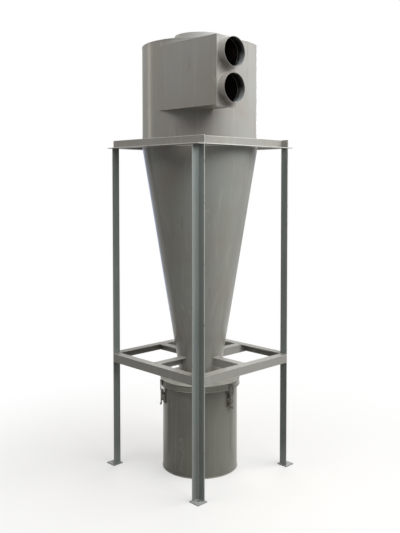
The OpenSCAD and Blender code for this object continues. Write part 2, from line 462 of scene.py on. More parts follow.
@dataclass(frozen=True)
class Overspray:
    """Enamel that was sprayed into the mouth of a stub pipe and thins out to near-black steel, partly bare
    steel and partly painted shade deep in the pipe.

    It is solid from the mouth to solid_share of its depth. A lighter patch on faces that look up and towards
    -Y reaches to dust_and_light_share of dust_and_light_depth; it is partly settled dust and partly painted
    light on the pipe's lower inside.
    """

    name: str
    mouth: float
    depth: float = 26 * MM
    solid_share: float = 0.12
    dust_and_light_depth: float = 50 * MM
    dust_and_light_share: float = 0.3
    dust_and_light_way: Triple = (0.0, -0.56, 0.83)
    ragged: float = 30 * MM
    # Darker than the outer enamel, partly thin paint and partly painted shade inside the pipe
    colour: Colour = srgb(112, 113, 110)
    # The lighter patch's colour, partly settled dust and partly painted light
    dust: Colour = srgb(170, 172, 170)
    # Near black, partly bare steel and partly painted shade
    bare_and_shade: Colour = srgb(20, 20, 18)
    roughness: float = 0.42
    specular: float = 0.35

    def make(self) -> bpy.types.Material:
        """Makes the material.

        Returns:
            The material.
        """
        nodes = Coating(self.name)
        place = nodes.add("ShaderNodeSeparateXYZ")
        nodes.feed(place.inputs[0], nodes.place)
        cloud = nodes.grain(45.0, 4.0, distortion=0.7)
        grit = nodes.grain(300.0, 2.0)
        stray = nodes.math("MULTIPLY", nodes.math("SUBTRACT", cloud, 0.5), self.ragged)
        along = nodes.math("ADD", place.outputs["X"], stray)
        painted = nodes.span(along, self.mouth - self.depth, self.mouth - self.solid_share * self.depth)
        dusted_and_lit = nodes.span(along, self.mouth - self.dust_and_light_depth,
                             self.mouth - self.dust_and_light_share * self.dust_and_light_depth)
        # Runs from the paint to near black deeper in as painted shade, and lays the lighter patch of dust and
        # painted light on faces that look up and towards -Y
        base = nodes.blend(painted, self.bare_and_shade, self.colour)
        nodes.put("Base Color", nodes.over(base, self.dust, dusted_and_lit, nodes.facing(self.dust_and_light_way, 0.30, 0.85)))
        nodes.put("Roughness", nodes.span(cloud, 0.3, 0.7, self.roughness - 0.06, self.roughness + 0.12))
        nodes.put("Specular IOR Level", self.specular)
        nodes.bumps([(grit, 0.3, 0.0004), (cloud, 0.15, 0.0008)])
        return nodes.material


@dataclass(frozen=True)
class DullZinc:
    """Old plated steel of the latches, with dark blotches and pale worn edges."""

    name: str
    colour: Colour = srgb(132, 130, 120)
    blotch: Colour = srgb(72, 66, 56)
    bright: Colour = srgb(196, 194, 184)
    edge_wear_and_highlight: float = 0.7
    metallic: float = 0.45

    def make(self) -> bpy.types.Material:
        """Makes the material.

        Returns:
            The material.
        """
        nodes = Coating(self.name)
        blotches = nodes.grain(75.0, 4.0, distortion=1.2)
        brushed = nodes.grain(90.0, 2.0, nodes.stretched((1.0, 1.0, 9.0)))
        spangle = nodes.add("ShaderNodeTexVoronoi", feature="F1")
        nodes.feed(spangle.inputs["Vector"], nodes.place)
        nodes.feed(spangle.inputs["Scale"], 240.0)
        base = nodes.blend(nodes.span(blotches, 0.46, 0.68), self.colour, self.blotch)
        nodes.put("Base Color", nodes.over(base, self.bright, nodes.edges(0.54, 0.64), self.edge_wear_and_highlight))
        nodes.put("Metallic", self.metallic)
        nodes.put("Roughness", nodes.span(blotches, 0.35, 0.65, 0.34, 0.62))
        nodes.bumps([(spangle.outputs["Distance"], 0.12, 0.0002), (brushed, 0.10, 0.0002)])
        return nodes.material


class Shape:
    """One mesh under construction, shaped by mesh operators, in metres."""

    RIM = 1.6 * MM
    BROAD = 2.2 * RIM
    ROD_SIDES = 20
    ROD_EDGE = 0.4 * MM

    def __init__(self) -> None:
        """Starts with an empty mesh."""
        self.bm = bmesh.new()

    def outline(self, points: Iterable[Vector]) -> Face:
        """Adds one flat face with these corners.

        Args:
            points: The corners in order.

        Returns:
            The face.
        """
        return self.bm.faces.new([self.bm.verts.new(point) for point in points])

    def round_corners(self, verts: Sequence[Vert], radius: float, segments: int = 3) -> None:
        """Rounds corners of a flat outline.

        Args:
            verts: The corners.
            radius: How far from the corner each cut begins.
            segments: The number of steps of each round.
        """
        bmesh.ops.bevel(self.bm, geom=list(verts), offset=radius, segments=segments, profile=0.5,
                        affect="VERTICES", material=-1, clamp_overlap=True)

    def round_edges(self, edges: Sequence[Edge], radius: float, segments: int = 2) -> None:
        """Rounds edges of a solid.

        Args:
            edges: The edges.
            radius: How far from the edge each cut begins.
            segments: The number of steps of each round.
        """
        bmesh.ops.bevel(self.bm, geom=list(edges), offset=radius, offset_type="OFFSET", segments=segments,
                        profile=0.5, affect="EDGES", material=-1, clamp_overlap=True)

    def sharp_edges(self, degrees: float = 40.0) -> list[Edge]:
        """Gives the edges whose two faces turn by more than an angle."""
        return [edge for edge in self.bm.edges
                if len(edge.link_faces) == 2 and edge.calc_face_angle(0.0) > math.radians(degrees)]

    def in_order(self, edges: Iterable[Edge]) -> list[Edge]:
        """Gives each edge once, in the mesh's own order, so that every run rounds them alike."""
        self.bm.edges.index_update()
        return sorted(set(edges), key=lambda edge: edge.index)

    def cut(self, point: Vector, normal: Vector) -> None:
        """Divides the faces that a plane crosses, and keeps both sides of it."""
        bmesh.ops.bisect_plane(self.bm, geom=self.bm.verts[:] + self.bm.edges[:] + self.bm.faces[:],
                               plane_co=point, plane_no=normal, dist=MERGE)

    def extrude(self, faces: Sequence[Face], along: Vector) -> None:
        """Draws faces out into a solid.

        Args:
            faces: The faces.
            along: The way and the distance.
        """
        made = bmesh.ops.extrude_face_region(self.bm, geom=list(faces))
        moved = [item for item in made["geom"] if isinstance(item, Vert)]
        bmesh.ops.translate(self.bm, verts=moved, vec=along)

    def lathe(self, steps: int) -> None:
        """Turns the outline's rim once round the vertical axis into a closed ring or disc.

        Args:
            steps: The number of steps of the turn.
        """
        bmesh.ops.delete(self.bm, geom=self.bm.faces[:], context="FACES_ONLY")
        bmesh.ops.spin(self.bm, geom=self.bm.verts[:] + self.bm.edges[:], cent=ORIGIN, axis=Z,
                       dvec=ORIGIN, angle=math.tau, steps=steps, use_merge=True, use_duplicate=False)
        bmesh.ops.remove_doubles(self.bm, verts=self.bm.verts[:], dist=MERGE)

    def plate(self, corners: Iterable[Vector], holes: Sequence[tuple[Matrix, float]], sides: int,
              along: Vector) -> None:
        """Makes a flat plate with round holes through it.

        Args:
            corners: The corners of one face, in order.
            holes: The place and the radius of each hole in that face.
            sides: The number of sides of a hole.
            along: The way to the other face and the plate's thickness.
        """
        rim = [self.bm.verts.new(corner) for corner in corners]
        for index, vert in enumerate(rim):
            self.bm.edges.new((vert, rim[(index + 1) % len(rim)]))
        for place, radius in holes:
            bmesh.ops.create_circle(self.bm, cap_ends=False, segments=sides, radius=radius, matrix=place)
        bmesh.ops.triangle_fill(self.bm, use_beauty=True, use_dissolve=False, edges=self.bm.edges[:])
        self.extrude(self.bm.faces[:], along)
        self.closed()

    def box(self, low: Vector, high: Vector, radius: float = 0.0) -> None:
        """Adds a box with slightly rounded edges.

        Args:
            low: Its lowest corner.
            high: Its highest corner.
            radius: The radius of its edges.
        """
        made = bmesh.ops.create_cube(self.bm, size=1.0)
        verts = made["verts"]
        bmesh.ops.scale(self.bm, verts=verts, vec=high - low)
        bmesh.ops.translate(self.bm, verts=verts, vec=(low + high) / 2)
        if radius:
            self.round_edges(self.in_order(edge for vert in verts for edge in vert.link_edges), radius)

    def rod(self, start: Vector, end: Vector, radius: float) -> None:
        """Adds a round rod with slightly broken ends.

        Args:
            start: The middle of one end.
            end: The middle of the other end.
            radius: The rod's radius.
        """
        along = end - start
        turn = along.to_track_quat("Z", "Y").to_matrix().to_4x4()
        place = Matrix.Translation((start + end) / 2) @ turn
        made = bmesh.ops.create_cone(self.bm, cap_ends=True, segments=self.ROD_SIDES, radius1=radius,
                                     radius2=radius, depth=along.length, matrix=place)
        ends = (edge for vert in made["verts"] for edge in vert.link_edges
                if any(len(face.verts) > 4 for face in edge.link_faces))
        self.round_edges(self.in_order(ends), self.ROD_EDGE, 1)

    def add(self, other: "Shape") -> None:
        """Takes another shape's mesh into this one.

        Args:
            other: The other shape, which is used up.
        """
        mesh = bpy.data.meshes.new("part")
        other.bm.to_mesh(mesh)
        other.bm.free()
        self.bm.from_mesh(mesh)
        bpy.data.meshes.remove(mesh)

    @classmethod
    def joined(cls, parts: Iterable["Shape"]) -> "Shape":
        """Joins shapes into one.

        Args:
            parts: The shapes, which are used up.

        Returns:
            The one shape.
        """
        whole = cls()
        for part in parts:
            whole.add(part)
        return whole

    def turned(self, turn: Matrix) -> "Shape":
        """Gives a copy that is turned or moved.

        Args:
            turn: The turn or move.

        Returns:
            The copy.
        """
        copy = Shape()
        copy.bm = self.bm.copy()
        bmesh.ops.transform(copy.bm, matrix=turn, verts=copy.bm.verts[:])
        return copy

    def paint(self, chosen: Callable[[Face], bool]) -> None:
        """Gives some of the faces the piece's second finish.

        Args:
            chosen: Tells whether a face is one of them.
        """
        self.bm.normal_update()
        for face in self.bm.faces:
            if chosen(face):
                face.material_index = 1

    def paint_bore(self) -> None:
        """Gives the faces that look at the vertical axis the second finish."""
        self.paint(lambda face: face.normal.xy.dot(face.calc_center_median().xy) < 0)

    def hold_rims(self) -> None:
        """Adds a loop close to the rim of every broad face, so that edge wear stays at its edges."""
        broad = [face for face in self.bm.faces
                 if min(edge.calc_length() for edge in face.edges) > self.BROAD]
        if broad:
            bmesh.ops.inset_region(self.bm, faces=broad, thickness=self.RIM, use_boundary=True,
                                   use_even_offset=True)

    def closed(self) -> "Shape":
        """Merges doubles and points every face outward.

        Returns:
            The shape itself.
        """
        bmesh.ops.remove_doubles(self.bm, verts=self.bm.verts[:], dist=MERGE)
        bmesh.ops.recalc_face_normals(self.bm, faces=self.bm.faces[:])
        return self


def section(radii: tuple[float, float], heights: tuple[float, float]) -> list[Vector]:
    """Gives the corners of a rectangle in the XZ plane.

    Args:
        radii: Its least and greatest distance from the vertical axis.
        heights: Its lower and upper height.

    Returns:
        The corners in order, the first at the least of both.
    """
    (inner, outer), (low, high) = radii, heights
    return [Vector((x, 0, z)) for x, z in ((inner, low), (outer, low), (outer, high), (inner, high))]


def ring(radii: tuple[float, float], heights: tuple[float, float], steps: int, rounded: Sequence[int] = (),
         radius: float = 0.0, segments: int = 3) -> Shape:
    """Turns a rectangle round the vertical axis into a closed ring.

    Args:
        radii: The ring's inner and outer radius.
        heights: The heights of its two ends.
        steps: The number of steps of the turn.
        rounded: The corners of the rectangle that are rounded, as numbers in its order.
        radius: How far from the corner each round begins.
        segments: The number of steps of each round.

    Returns:
        The ring.
    """
    shape = Shape()
    corners = list(shape.outline(section(radii, heights)).verts)
    if rounded:
        shape.round_corners([corners[index] for index in rounded], radius, segments)
    shape.lathe(steps)
    return shape.closed()


def sweep(points: Sequence[Vector], radius: float, cyclic: bool = False, sides: int = 8,
          swell: Callable[[int], float] = lambda index: 1.0) -> Shape:
    """Draws a round wire or bead along a line of points.

    Args:
        points: The points of its middle line.
        radius: Its radius.
        cyclic: True if its end joins its start.
        sides: The number of its sides, an even number.
        swell: Gives the factor on the radius at each point.

    Returns:
        The bead as a shape.
    """
    curve = bpy.data.curves.new("line", "CURVE")
    curve.dimensions = "3D"
    curve.bevel_depth = radius
    curve.bevel_resolution = sides // 2 - 2
    curve.use_fill_caps = True
    spline = curve.splines.new("POLY")
    spline.points.add(len(points) - 1)
    for index, (knot, point) in enumerate(zip(spline.points, points)):
        knot.co = (*point, 1.0)
        knot.radius = swell(index)
    spline.use_cyclic_u = cyclic
    carrier = bpy.data.objects.new("line", curve)
    bpy.context.scene.collection.objects.link(carrier)
    mesh = bpy.data.meshes.new_from_object(carrier.evaluated_get(bpy.context.evaluated_depsgraph_get()))
    shape = Shape()
    shape.bm.from_mesh(mesh)
    bpy.data.meshes.remove(mesh)
    bpy.data.objects.remove(carrier)
    bpy.data.curves.remove(curve)
    return shape.closed()


@dataclass(frozen=True)
class Waves:
    """The faint waves that hand rolling leaves in a sheet between its true edges."""

    depth: float = 0.7 * MM
    round_scale: float = 3.1
    height_scale: float = 2.3
    inward: float = 0.25
    rise: float = 5.0

    def moved(self, point: Vector, low: float, high: float, share: float = 1.0) -> Vector:
        """Moves a point of the sheet in or out.

        Args:
            point: The point.
            low: The sheet's lower edge, which stays true.
            high: The sheet's upper edge, which stays true.
            share: How much of the wave the point takes, from 0 to 1.

        Returns:
            The moved point.
        """
        up = (point.z - low) / (high - low)
        hold = max(0.0, min(1.0, self.rise * up, self.rise * (1.0 - up)))
        outward = Vector((point.x, point.y, 0.0)).normalized()
        spot = Vector((outward.x * self.round_scale, outward.y * self.round_scale,
                       point.z * self.height_scale))
        return point + outward * (self.depth * share * hold * (noise.noise(spot) - self.inward))


@dataclass(frozen=True)
class WeldBead:
    """A hand-laid weld bead under paint: a round bead with the ripples of its pool."""

    radius: float = 2.2 * MM
    pitch: float = 2.6 * MM
    ripple: float = 0.10
    stray: float = 0.25 * MM
    uneven: float = 0.16
    uneven_scale: float = 90.0
    stray_scale: float = 60.0
    sides: int = 6

    def laid(self, points: Sequence[Vector], cyclic: bool = False) -> Shape:
        """Lays the bead along a line of points a pitch apart.

        Args:
            points: The points.
            cyclic: True if the bead closes on itself.

        Returns:
            The bead as a shape.
        """
        def swell(index: int) -> float:
            """Gives the bead's swelling at one point."""
            wave = noise.noise(points[index] * self.uneven_scale)
            return 1.0 + self.ripple * math.cos(index * math.pi) + self.uneven * wave

        strayed = [point + noise.noise_vector(point * self.stray_scale) * self.stray for point in points]
        return sweep(strayed, self.radius, cyclic, self.sides, swell)

    def straight(self, start: Sequence[float], end: Sequence[float]) -> Shape:
        """Lays a straight bead between two points.

        Args:
            start: The one point.
            end: The other point.

        Returns:
            The bead as a shape.
        """
        start, end = Vector(start), Vector(end)
        count = max(3, round((end - start).length / self.pitch))
        return self.laid([start.lerp(end, step / count) for step in range(count + 1)])

    def arc(self, radius: float, height: float, from_deg: float = 0.0, to_deg: float = 360.0) -> Shape:
        """Lays a bead along an arc about the cyclone's axis.

        Args:
            radius: The arc's radius.
            height: Its height above the floor.
            from_deg: Where it begins, in degrees from +X.
            to_deg: Where it ends.

        Returns:
            The bead as a shape, closed on itself if the arc is a full turn.
        """
        span = math.radians(to_deg - from_deg)
        whole = math.isclose(to_deg - from_deg, 360.0)
        count = max(3, round(span * radius / self.pitch))
        steps = range(count if whole else count + 1)
        turns = [math.radians(from_deg) + span * step / count for step in steps]
        points = [Vector((radius * math.cos(turn), radius * math.sin(turn), height)) for turn in turns]
        return self.laid(points, whole)


@dataclass(frozen=True)
class Spatter:
    """Small drops that welding threw on the sheet near a seam, under the paint."""

    seed: int
    small: float = 0.35 * MM
    large: float = 1.15 * MM

    def around(self, middle: Vector, axis: Vector, reach: tuple[float, float], count: int) -> Shape:
        """Scatters drops on a flat sheet round a ring seam.

        Args:
            middle: The ring's middle on the sheet.
            axis: The sheet's outward direction.
            reach: The least and the greatest distance from the middle.
            count: How many drops there are.

        Returns:
            The drops as a shape.
        """
        dice = random.Random(self.seed)
        side = axis.orthogonal().normalized()
        shape = Shape()
        for _ in range(count):
            turn = Matrix.Rotation(dice.uniform(0.0, math.tau), 4, axis)
            distance = reach[0] + (reach[1] - reach[0]) * dice.random() ** 2
            self.drop(shape, middle + (turn @ side) * distance, dice)
        return shape

    def along(self, start: Sequence[float], end: Sequence[float], spread: Vector, count: int) -> Shape:
        """Scatters drops beside a straight seam.

        Args:
            start: Where the seam begins.
            end: Where it ends.
            spread: The way and the greatest distance from the seam.
            count: How many drops there are.

        Returns:
            The drops as a shape.
        """
        start, end = Vector(start), Vector(end)
        dice = random.Random(self.seed)
        shape = Shape()
        for _ in range(count):
            self.drop(shape, start.lerp(end, dice.random()) + spread * dice.random() ** 2, dice)
        return shape

    def drop(self, shape: Shape, at: Vector, dice: random.Random) -> None:
        """Adds one drop."""
        bmesh.ops.create_icosphere(shape.bm, subdivisions=1, radius=dice.uniform(self.small, self.large),
                                   matrix=Matrix.Translation(at))


class Paintshop:
    """Holds the finishes and turns shapes into finished pieces."""

    SMOOTH_DEG = 34.0
    BEAD_SMOOTH_DEG = 60.0

    def __init__(self) -> None:
        """Makes every finish."""
        finishes = (
            Enamel("body_enamel", srgb(152, 151, 146), srgb(147, 139, 131), mottle=0.7),
            # The cone's enamel is a darker copy of the body's, as painted shade on the down-facing cone
            Enamel("cone_shaded_enamel", srgb(141, 142, 135), srgb(137, 130, 121), mottle=0.7),
            # The collar's enamel is a lighter copy of the body's, partly cleaner paint and partly painted
            # light from the sky
            Enamel("collar_lit_enamel", srgb(162, 162, 159), srgb(155, 152, 147)),
            Enamel("frame_enamel", srgb(150, 148, 142), srgb(142, 138, 131), dusted=0.22),
            # The posts' enamel is lighter and bluer than the frame's, partly a paint of their own and partly
            # painted light from the sky on their faces
            Enamel("post_enamel", srgb(146, 152, 148), srgb(135, 142, 137)),
            Enamel("drum_enamel", srgb(124, 124, 113), srgb(110, 108, 97), srgb(190, 187, 178),
                   stained=0.6, dusted=0.45),
            DarkSheet("inner_sheet"),
            Overspray("pipe_mouth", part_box("inlet_pipe_upper")[1].x),
            DullZinc("latch_steel"),
        )
        self.finishes = {finish.name: finish.make() for finish in finishes}
        self.count = 0

    def finish(self, shape: Shape, name: str, slot: Slot, replaces: Sequence[str] = (),
               second: Optional[Finish] = None, first: Optional[Finish] = None,
               smooth_deg: float = SMOOTH_DEG) -> None:
        """Turns a shape into a piece of the cyclone.

        Args:
            shape: The shape, which is used up.
            name: The piece's name.
            slot: Its slot, which also gives its finish.
            replaces: The nodes that it stands for.
            second: The finish of the faces that were painted.
            first: A finish to use in the slot's place.
            smooth_deg: Edges that turn by less than this are shaded smooth.
        """
        limit = math.radians(smooth_deg)
        shape.hold_rims()
        for face in shape.bm.faces:
            face.smooth = True
        for edge in shape.bm.edges:
            edge.smooth = len(edge.link_faces) == 2 and edge.calc_face_angle(0.0) < limit
        mesh = bpy.data.meshes.new(name)
        shape.bm.to_mesh(mesh)
        shape.bm.free()
        for finish in filter(None, (first or slot, second)):
            mesh.materials.append(self.finishes[finish.value])
        piece = bpy.data.objects.new(name, mesh)
        bpy.context.scene.collection.objects.link(piece)
        shading = piece.modifiers.new("even_shading", "WEIGHTED_NORMAL")
        shading.keep_sharp = True
        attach(piece, BODY)
        if replaces:
            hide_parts(*replaces)
        self.count += 1
        LOG.info("piece %02d %s: %d faces", self.count, name, len(mesh.polygons))

    def finish_seams(self, beads: Iterable[Shape], name: str, slot: Slot) -> None:
        """Joins weld beads and their spatter into one piece.

        Args:
            beads: The beads, which are used up.
            name: The piece's name.
            slot: Its slot.
        """
        self.finish(Shape.joined(beads), name, slot, smooth_deg=self.BEAD_SMOOTH_DEG)


@dataclass
class Plan:
    """The main sizes of the cyclone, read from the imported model."""

    body_r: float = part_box("roof_plate")[1].x
    body_z0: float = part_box("cylinder_shell")[0].z
    sheet_top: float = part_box("cylinder_shell")[1].z
    body_z1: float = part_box("roof_plate")[1].z
    sheet_t: float = 2 * MM
    broken: float = 0.8 * MM
    tip_r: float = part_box("cone_spout")[1].x
    cone_z0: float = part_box("cone_shell")[0].z
    inlet_low: Vector = field(default_factory=lambda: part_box("inlet_outer_wall")[0])
    inlet_high: Vector = field(default_factory=lambda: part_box("inlet_end_plate")[1])
    frame_in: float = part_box("lower_beam_front")[1].x
    frame_out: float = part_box("top_beam_front")[1].x
    stand_h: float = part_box("top_beam_front")[0].z
    lower_h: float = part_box("lower_beam_front")[1].z
    lid_z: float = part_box("drum_lid")[1].z
    drum_r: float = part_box("drum_wall")[1].x
    angle_w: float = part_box("top_beam_front")[1].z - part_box("top_beam_front")[0].z

    def cone_r(self, height: float) -> float:
        """Gives the cone's outer radius at a height."""
        share = (height - self.cone_z0) / (self.body_z0 - self.cone_z0)
        return self.tip_r + share * (self.body_r - self.tip_r)


@dataclass
class Body:
    """The rolled cylinder with its roof and outlet, and the cone with its tip pipe."""

    plan: Plan
    shop: Paintshop
    steps: int = 216
    rows: int = 40
    collar_steps: int = 160
    finder_steps: int = 144
    tip_steps: int = 128
    waves: Waves = Waves()
    folds: int = 36
    fold_share: float = 0.22
    fold_rise: float = 8.0
    wall_rise: float = 4.0
    seam_deg: float = 205.0
    finder_gap: float = 0.3 * MM
    collar_edge: float = 0.6 * MM

    def build(self) -> None:
        """Builds the body's pieces."""
        self.cylinder()
        self.cone()
        self.roof()
        self.outlet()
        self.welds()

    def uneven(self, point: Vector, low: float, high: float) -> Vector:
        """Moves a point of a rolled sheet in or out, but not where the inlet's wall joins it.

        Args:
            point: The point.
            low: The sheet's lower edge, which stays true.
            high: The sheet's upper edge, which stays true.

        Returns:
            The moved point.
        """
        across = abs(point.x) / point.xy.length
        share = min(1.0, self.wall_rise * across) if point.y < 0 else 1.0
        return self.waves.moved(point, low, high, share)

    def rolled(self, low: tuple[float, float], high: tuple[float, float]) -> Shape:
        """Rolls a sheet round the axis.

        Args:
            low: Radius and height of its lower edge.
            high: Radius and height of its upper edge.

        Returns:
            The sheet's outer skin, with no thickness yet.
        """
        shape = Shape()
        ends = [shape.bm.verts.new((radius, 0.0, height)) for radius, height in (low, high)]
        line = shape.bm.edges.new(ends)
        bmesh.ops.subdivide_edges(shape.bm, edges=[line], cuts=self.rows - 1)
        shape.lathe(self.steps)
        bmesh.ops.recalc_face_normals(shape.bm, faces=shape.bm.faces[:])
        for vert in shape.bm.verts:
            vert.co = self.uneven(vert.co, low[1], high[1])
        return shape

    def folded(self, shape: Shape) -> None:
        """Leaves the faint flats of a press brake in the cone's sheet, between its true ends.

        Args:
            shape: The sheet.
        """
        step = math.tau / self.folds
        span = self.plan.body_z0 - self.plan.cone_z0
        for vert in shape.bm.verts:
            up = (vert.co.z - self.plan.cone_z0) / span
            hold = self.fold_share * max(0.0, min(1.0, self.fold_rise * up, self.fold_rise * (1.0 - up)))
            turn = math.atan2(vert.co.y, vert.co.x) % step - step / 2
            flat = math.cos(step / 2) / math.cos(turn)
            vert.co.xy *= 1.0 + hold * (flat - 1.0)

    def thicken(self, shape: Shape) -> None:
        """Gives a skin its wall, inward, and its inner side the second finish.

        Args:
            shape: The skin.
        """
        shape.bm.normal_update()
        bmesh.ops.solidify(shape.bm, geom=shape.bm.faces[:], thickness=self.plan.sheet_t)
        shape.paint_bore()

    def cylinder(self) -> None:
        """Makes the rolled cylinder with the window behind the inlet."""
        plan = self.plan
        shape = self.rolled((plan.body_r, plan.body_z0), (plan.body_r, plan.sheet_top))
        low, high = plan.inlet_low, plan.inlet_high
        for point, normal in ((Z * low.z, Z), (Z * high.z, Z), (Y * high.y, Y), (ORIGIN, X)):
            shape.cut(point, normal)
        window = []
        for face in shape.bm.faces:
            middle = face.calc_center_median()
            if middle.x > 0 and middle.y < high.y and low.z < middle.z < high.z:
                window.append(face)
        bmesh.ops.delete(shape.bm, geom=window, context="FACES")
        self.thicken(shape)
        self.shop.finish(shape, "body_cylinder", Slot.BODY, ["cylinder_shell"], Finish.INSIDE)

    def cone(self) -> None:
        """Makes the cone and its tip pipe."""
        plan = self.plan
        shape = self.rolled((plan.tip_r, plan.cone_z0), (plan.body_r, plan.body_z0))
        self.folded(shape)
        self.thicken(shape)
        self.shop.finish(shape, "body_cone", Slot.BODY, ["cone_shell"], Finish.INSIDE, Finish.CONE)
        heights = (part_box("cone_spout")[0].z, plan.cone_z0)
        tip = ring((plan.tip_r - plan.sheet_t, plan.tip_r), heights, self.tip_steps)
        self.shop.finish(tip, "cone_tip_pipe", Slot.BODY, ["cone_spout"], first=Finish.CONE)

    def roof(self) -> None:
        """Makes the flat roof with its broken outer edge."""
        plan = self.plan
        radii = (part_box("vortex_finder")[1].x + self.finder_gap, plan.body_r)
        shape = ring(radii, (plan.sheet_top, plan.body_z1), self.steps, (1, 2), plan.broken)
        self.shop.finish(shape, "body_roof", Slot.BODY, ["roof_plate"])

    def outlet(self) -> None:
        """Makes the outlet collar and the pipe that hangs inside."""
        low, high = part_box("outlet_collar")
        radii = (high.x - self.plan.sheet_t, high.x)
        collar = ring(radii, (low.z, high.z), self.collar_steps, (2, 3), self.collar_edge, 2)
        collar.paint_bore()
        self.shop.finish(collar, "outlet_collar_pipe", Slot.BODY, ["outlet_collar"], Finish.INSIDE,
                         Finish.COLLAR)
        low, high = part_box("vortex_finder")
        pipe = ring((high.x - self.plan.sheet_t, high.x), (low.z, high.z), self.finder_steps)
        self.shop.finish(pipe, "inner_pipe", Slot.INNER, ["vortex_finder"])

    def welds(self) -> None:
        """Lays the body's seams, each sunk a little into the sheets that it joins."""
        plan = self.plan
        bead, edge, fine = WeldBead(3.0 * MM, 3.2 * MM), WeldBead(2.0 * MM), WeldBead(1.7 * MM, 2.4 * MM)
        turn = math.radians(self.seam_deg)
        outward = Vector((math.cos(turn), math.sin(turn), 0.0))
        body = outward * (plan.body_r - 1.1 * MM)
        tip = outward * (plan.tip_r - 1.1 * MM)
        self.shop.finish_seams([
            edge.arc(plan.body_r - 0.7 * MM, plan.sheet_top - 0.4 * MM),
            fine.arc(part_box("outlet_collar")[1].x + 0.9 * MM, plan.body_z1 + 0.5 * MM),
            bead.arc(plan.body_r - 1.2 * MM, plan.body_z0),
            fine.arc(plan.tip_r - 0.4 * MM, plan.cone_z0),
            fine.arc(plan.tip_r + 0.9 * MM, plan.lid_z + 0.4 * MM),
            fine.straight(body + Z * plan.body_z0, body + Z * plan.sheet_top),
            fine.straight(tip + Z * plan.cone_z0, body + Z * plan.body_z0),
        ], "body_welds", Slot.BODY)


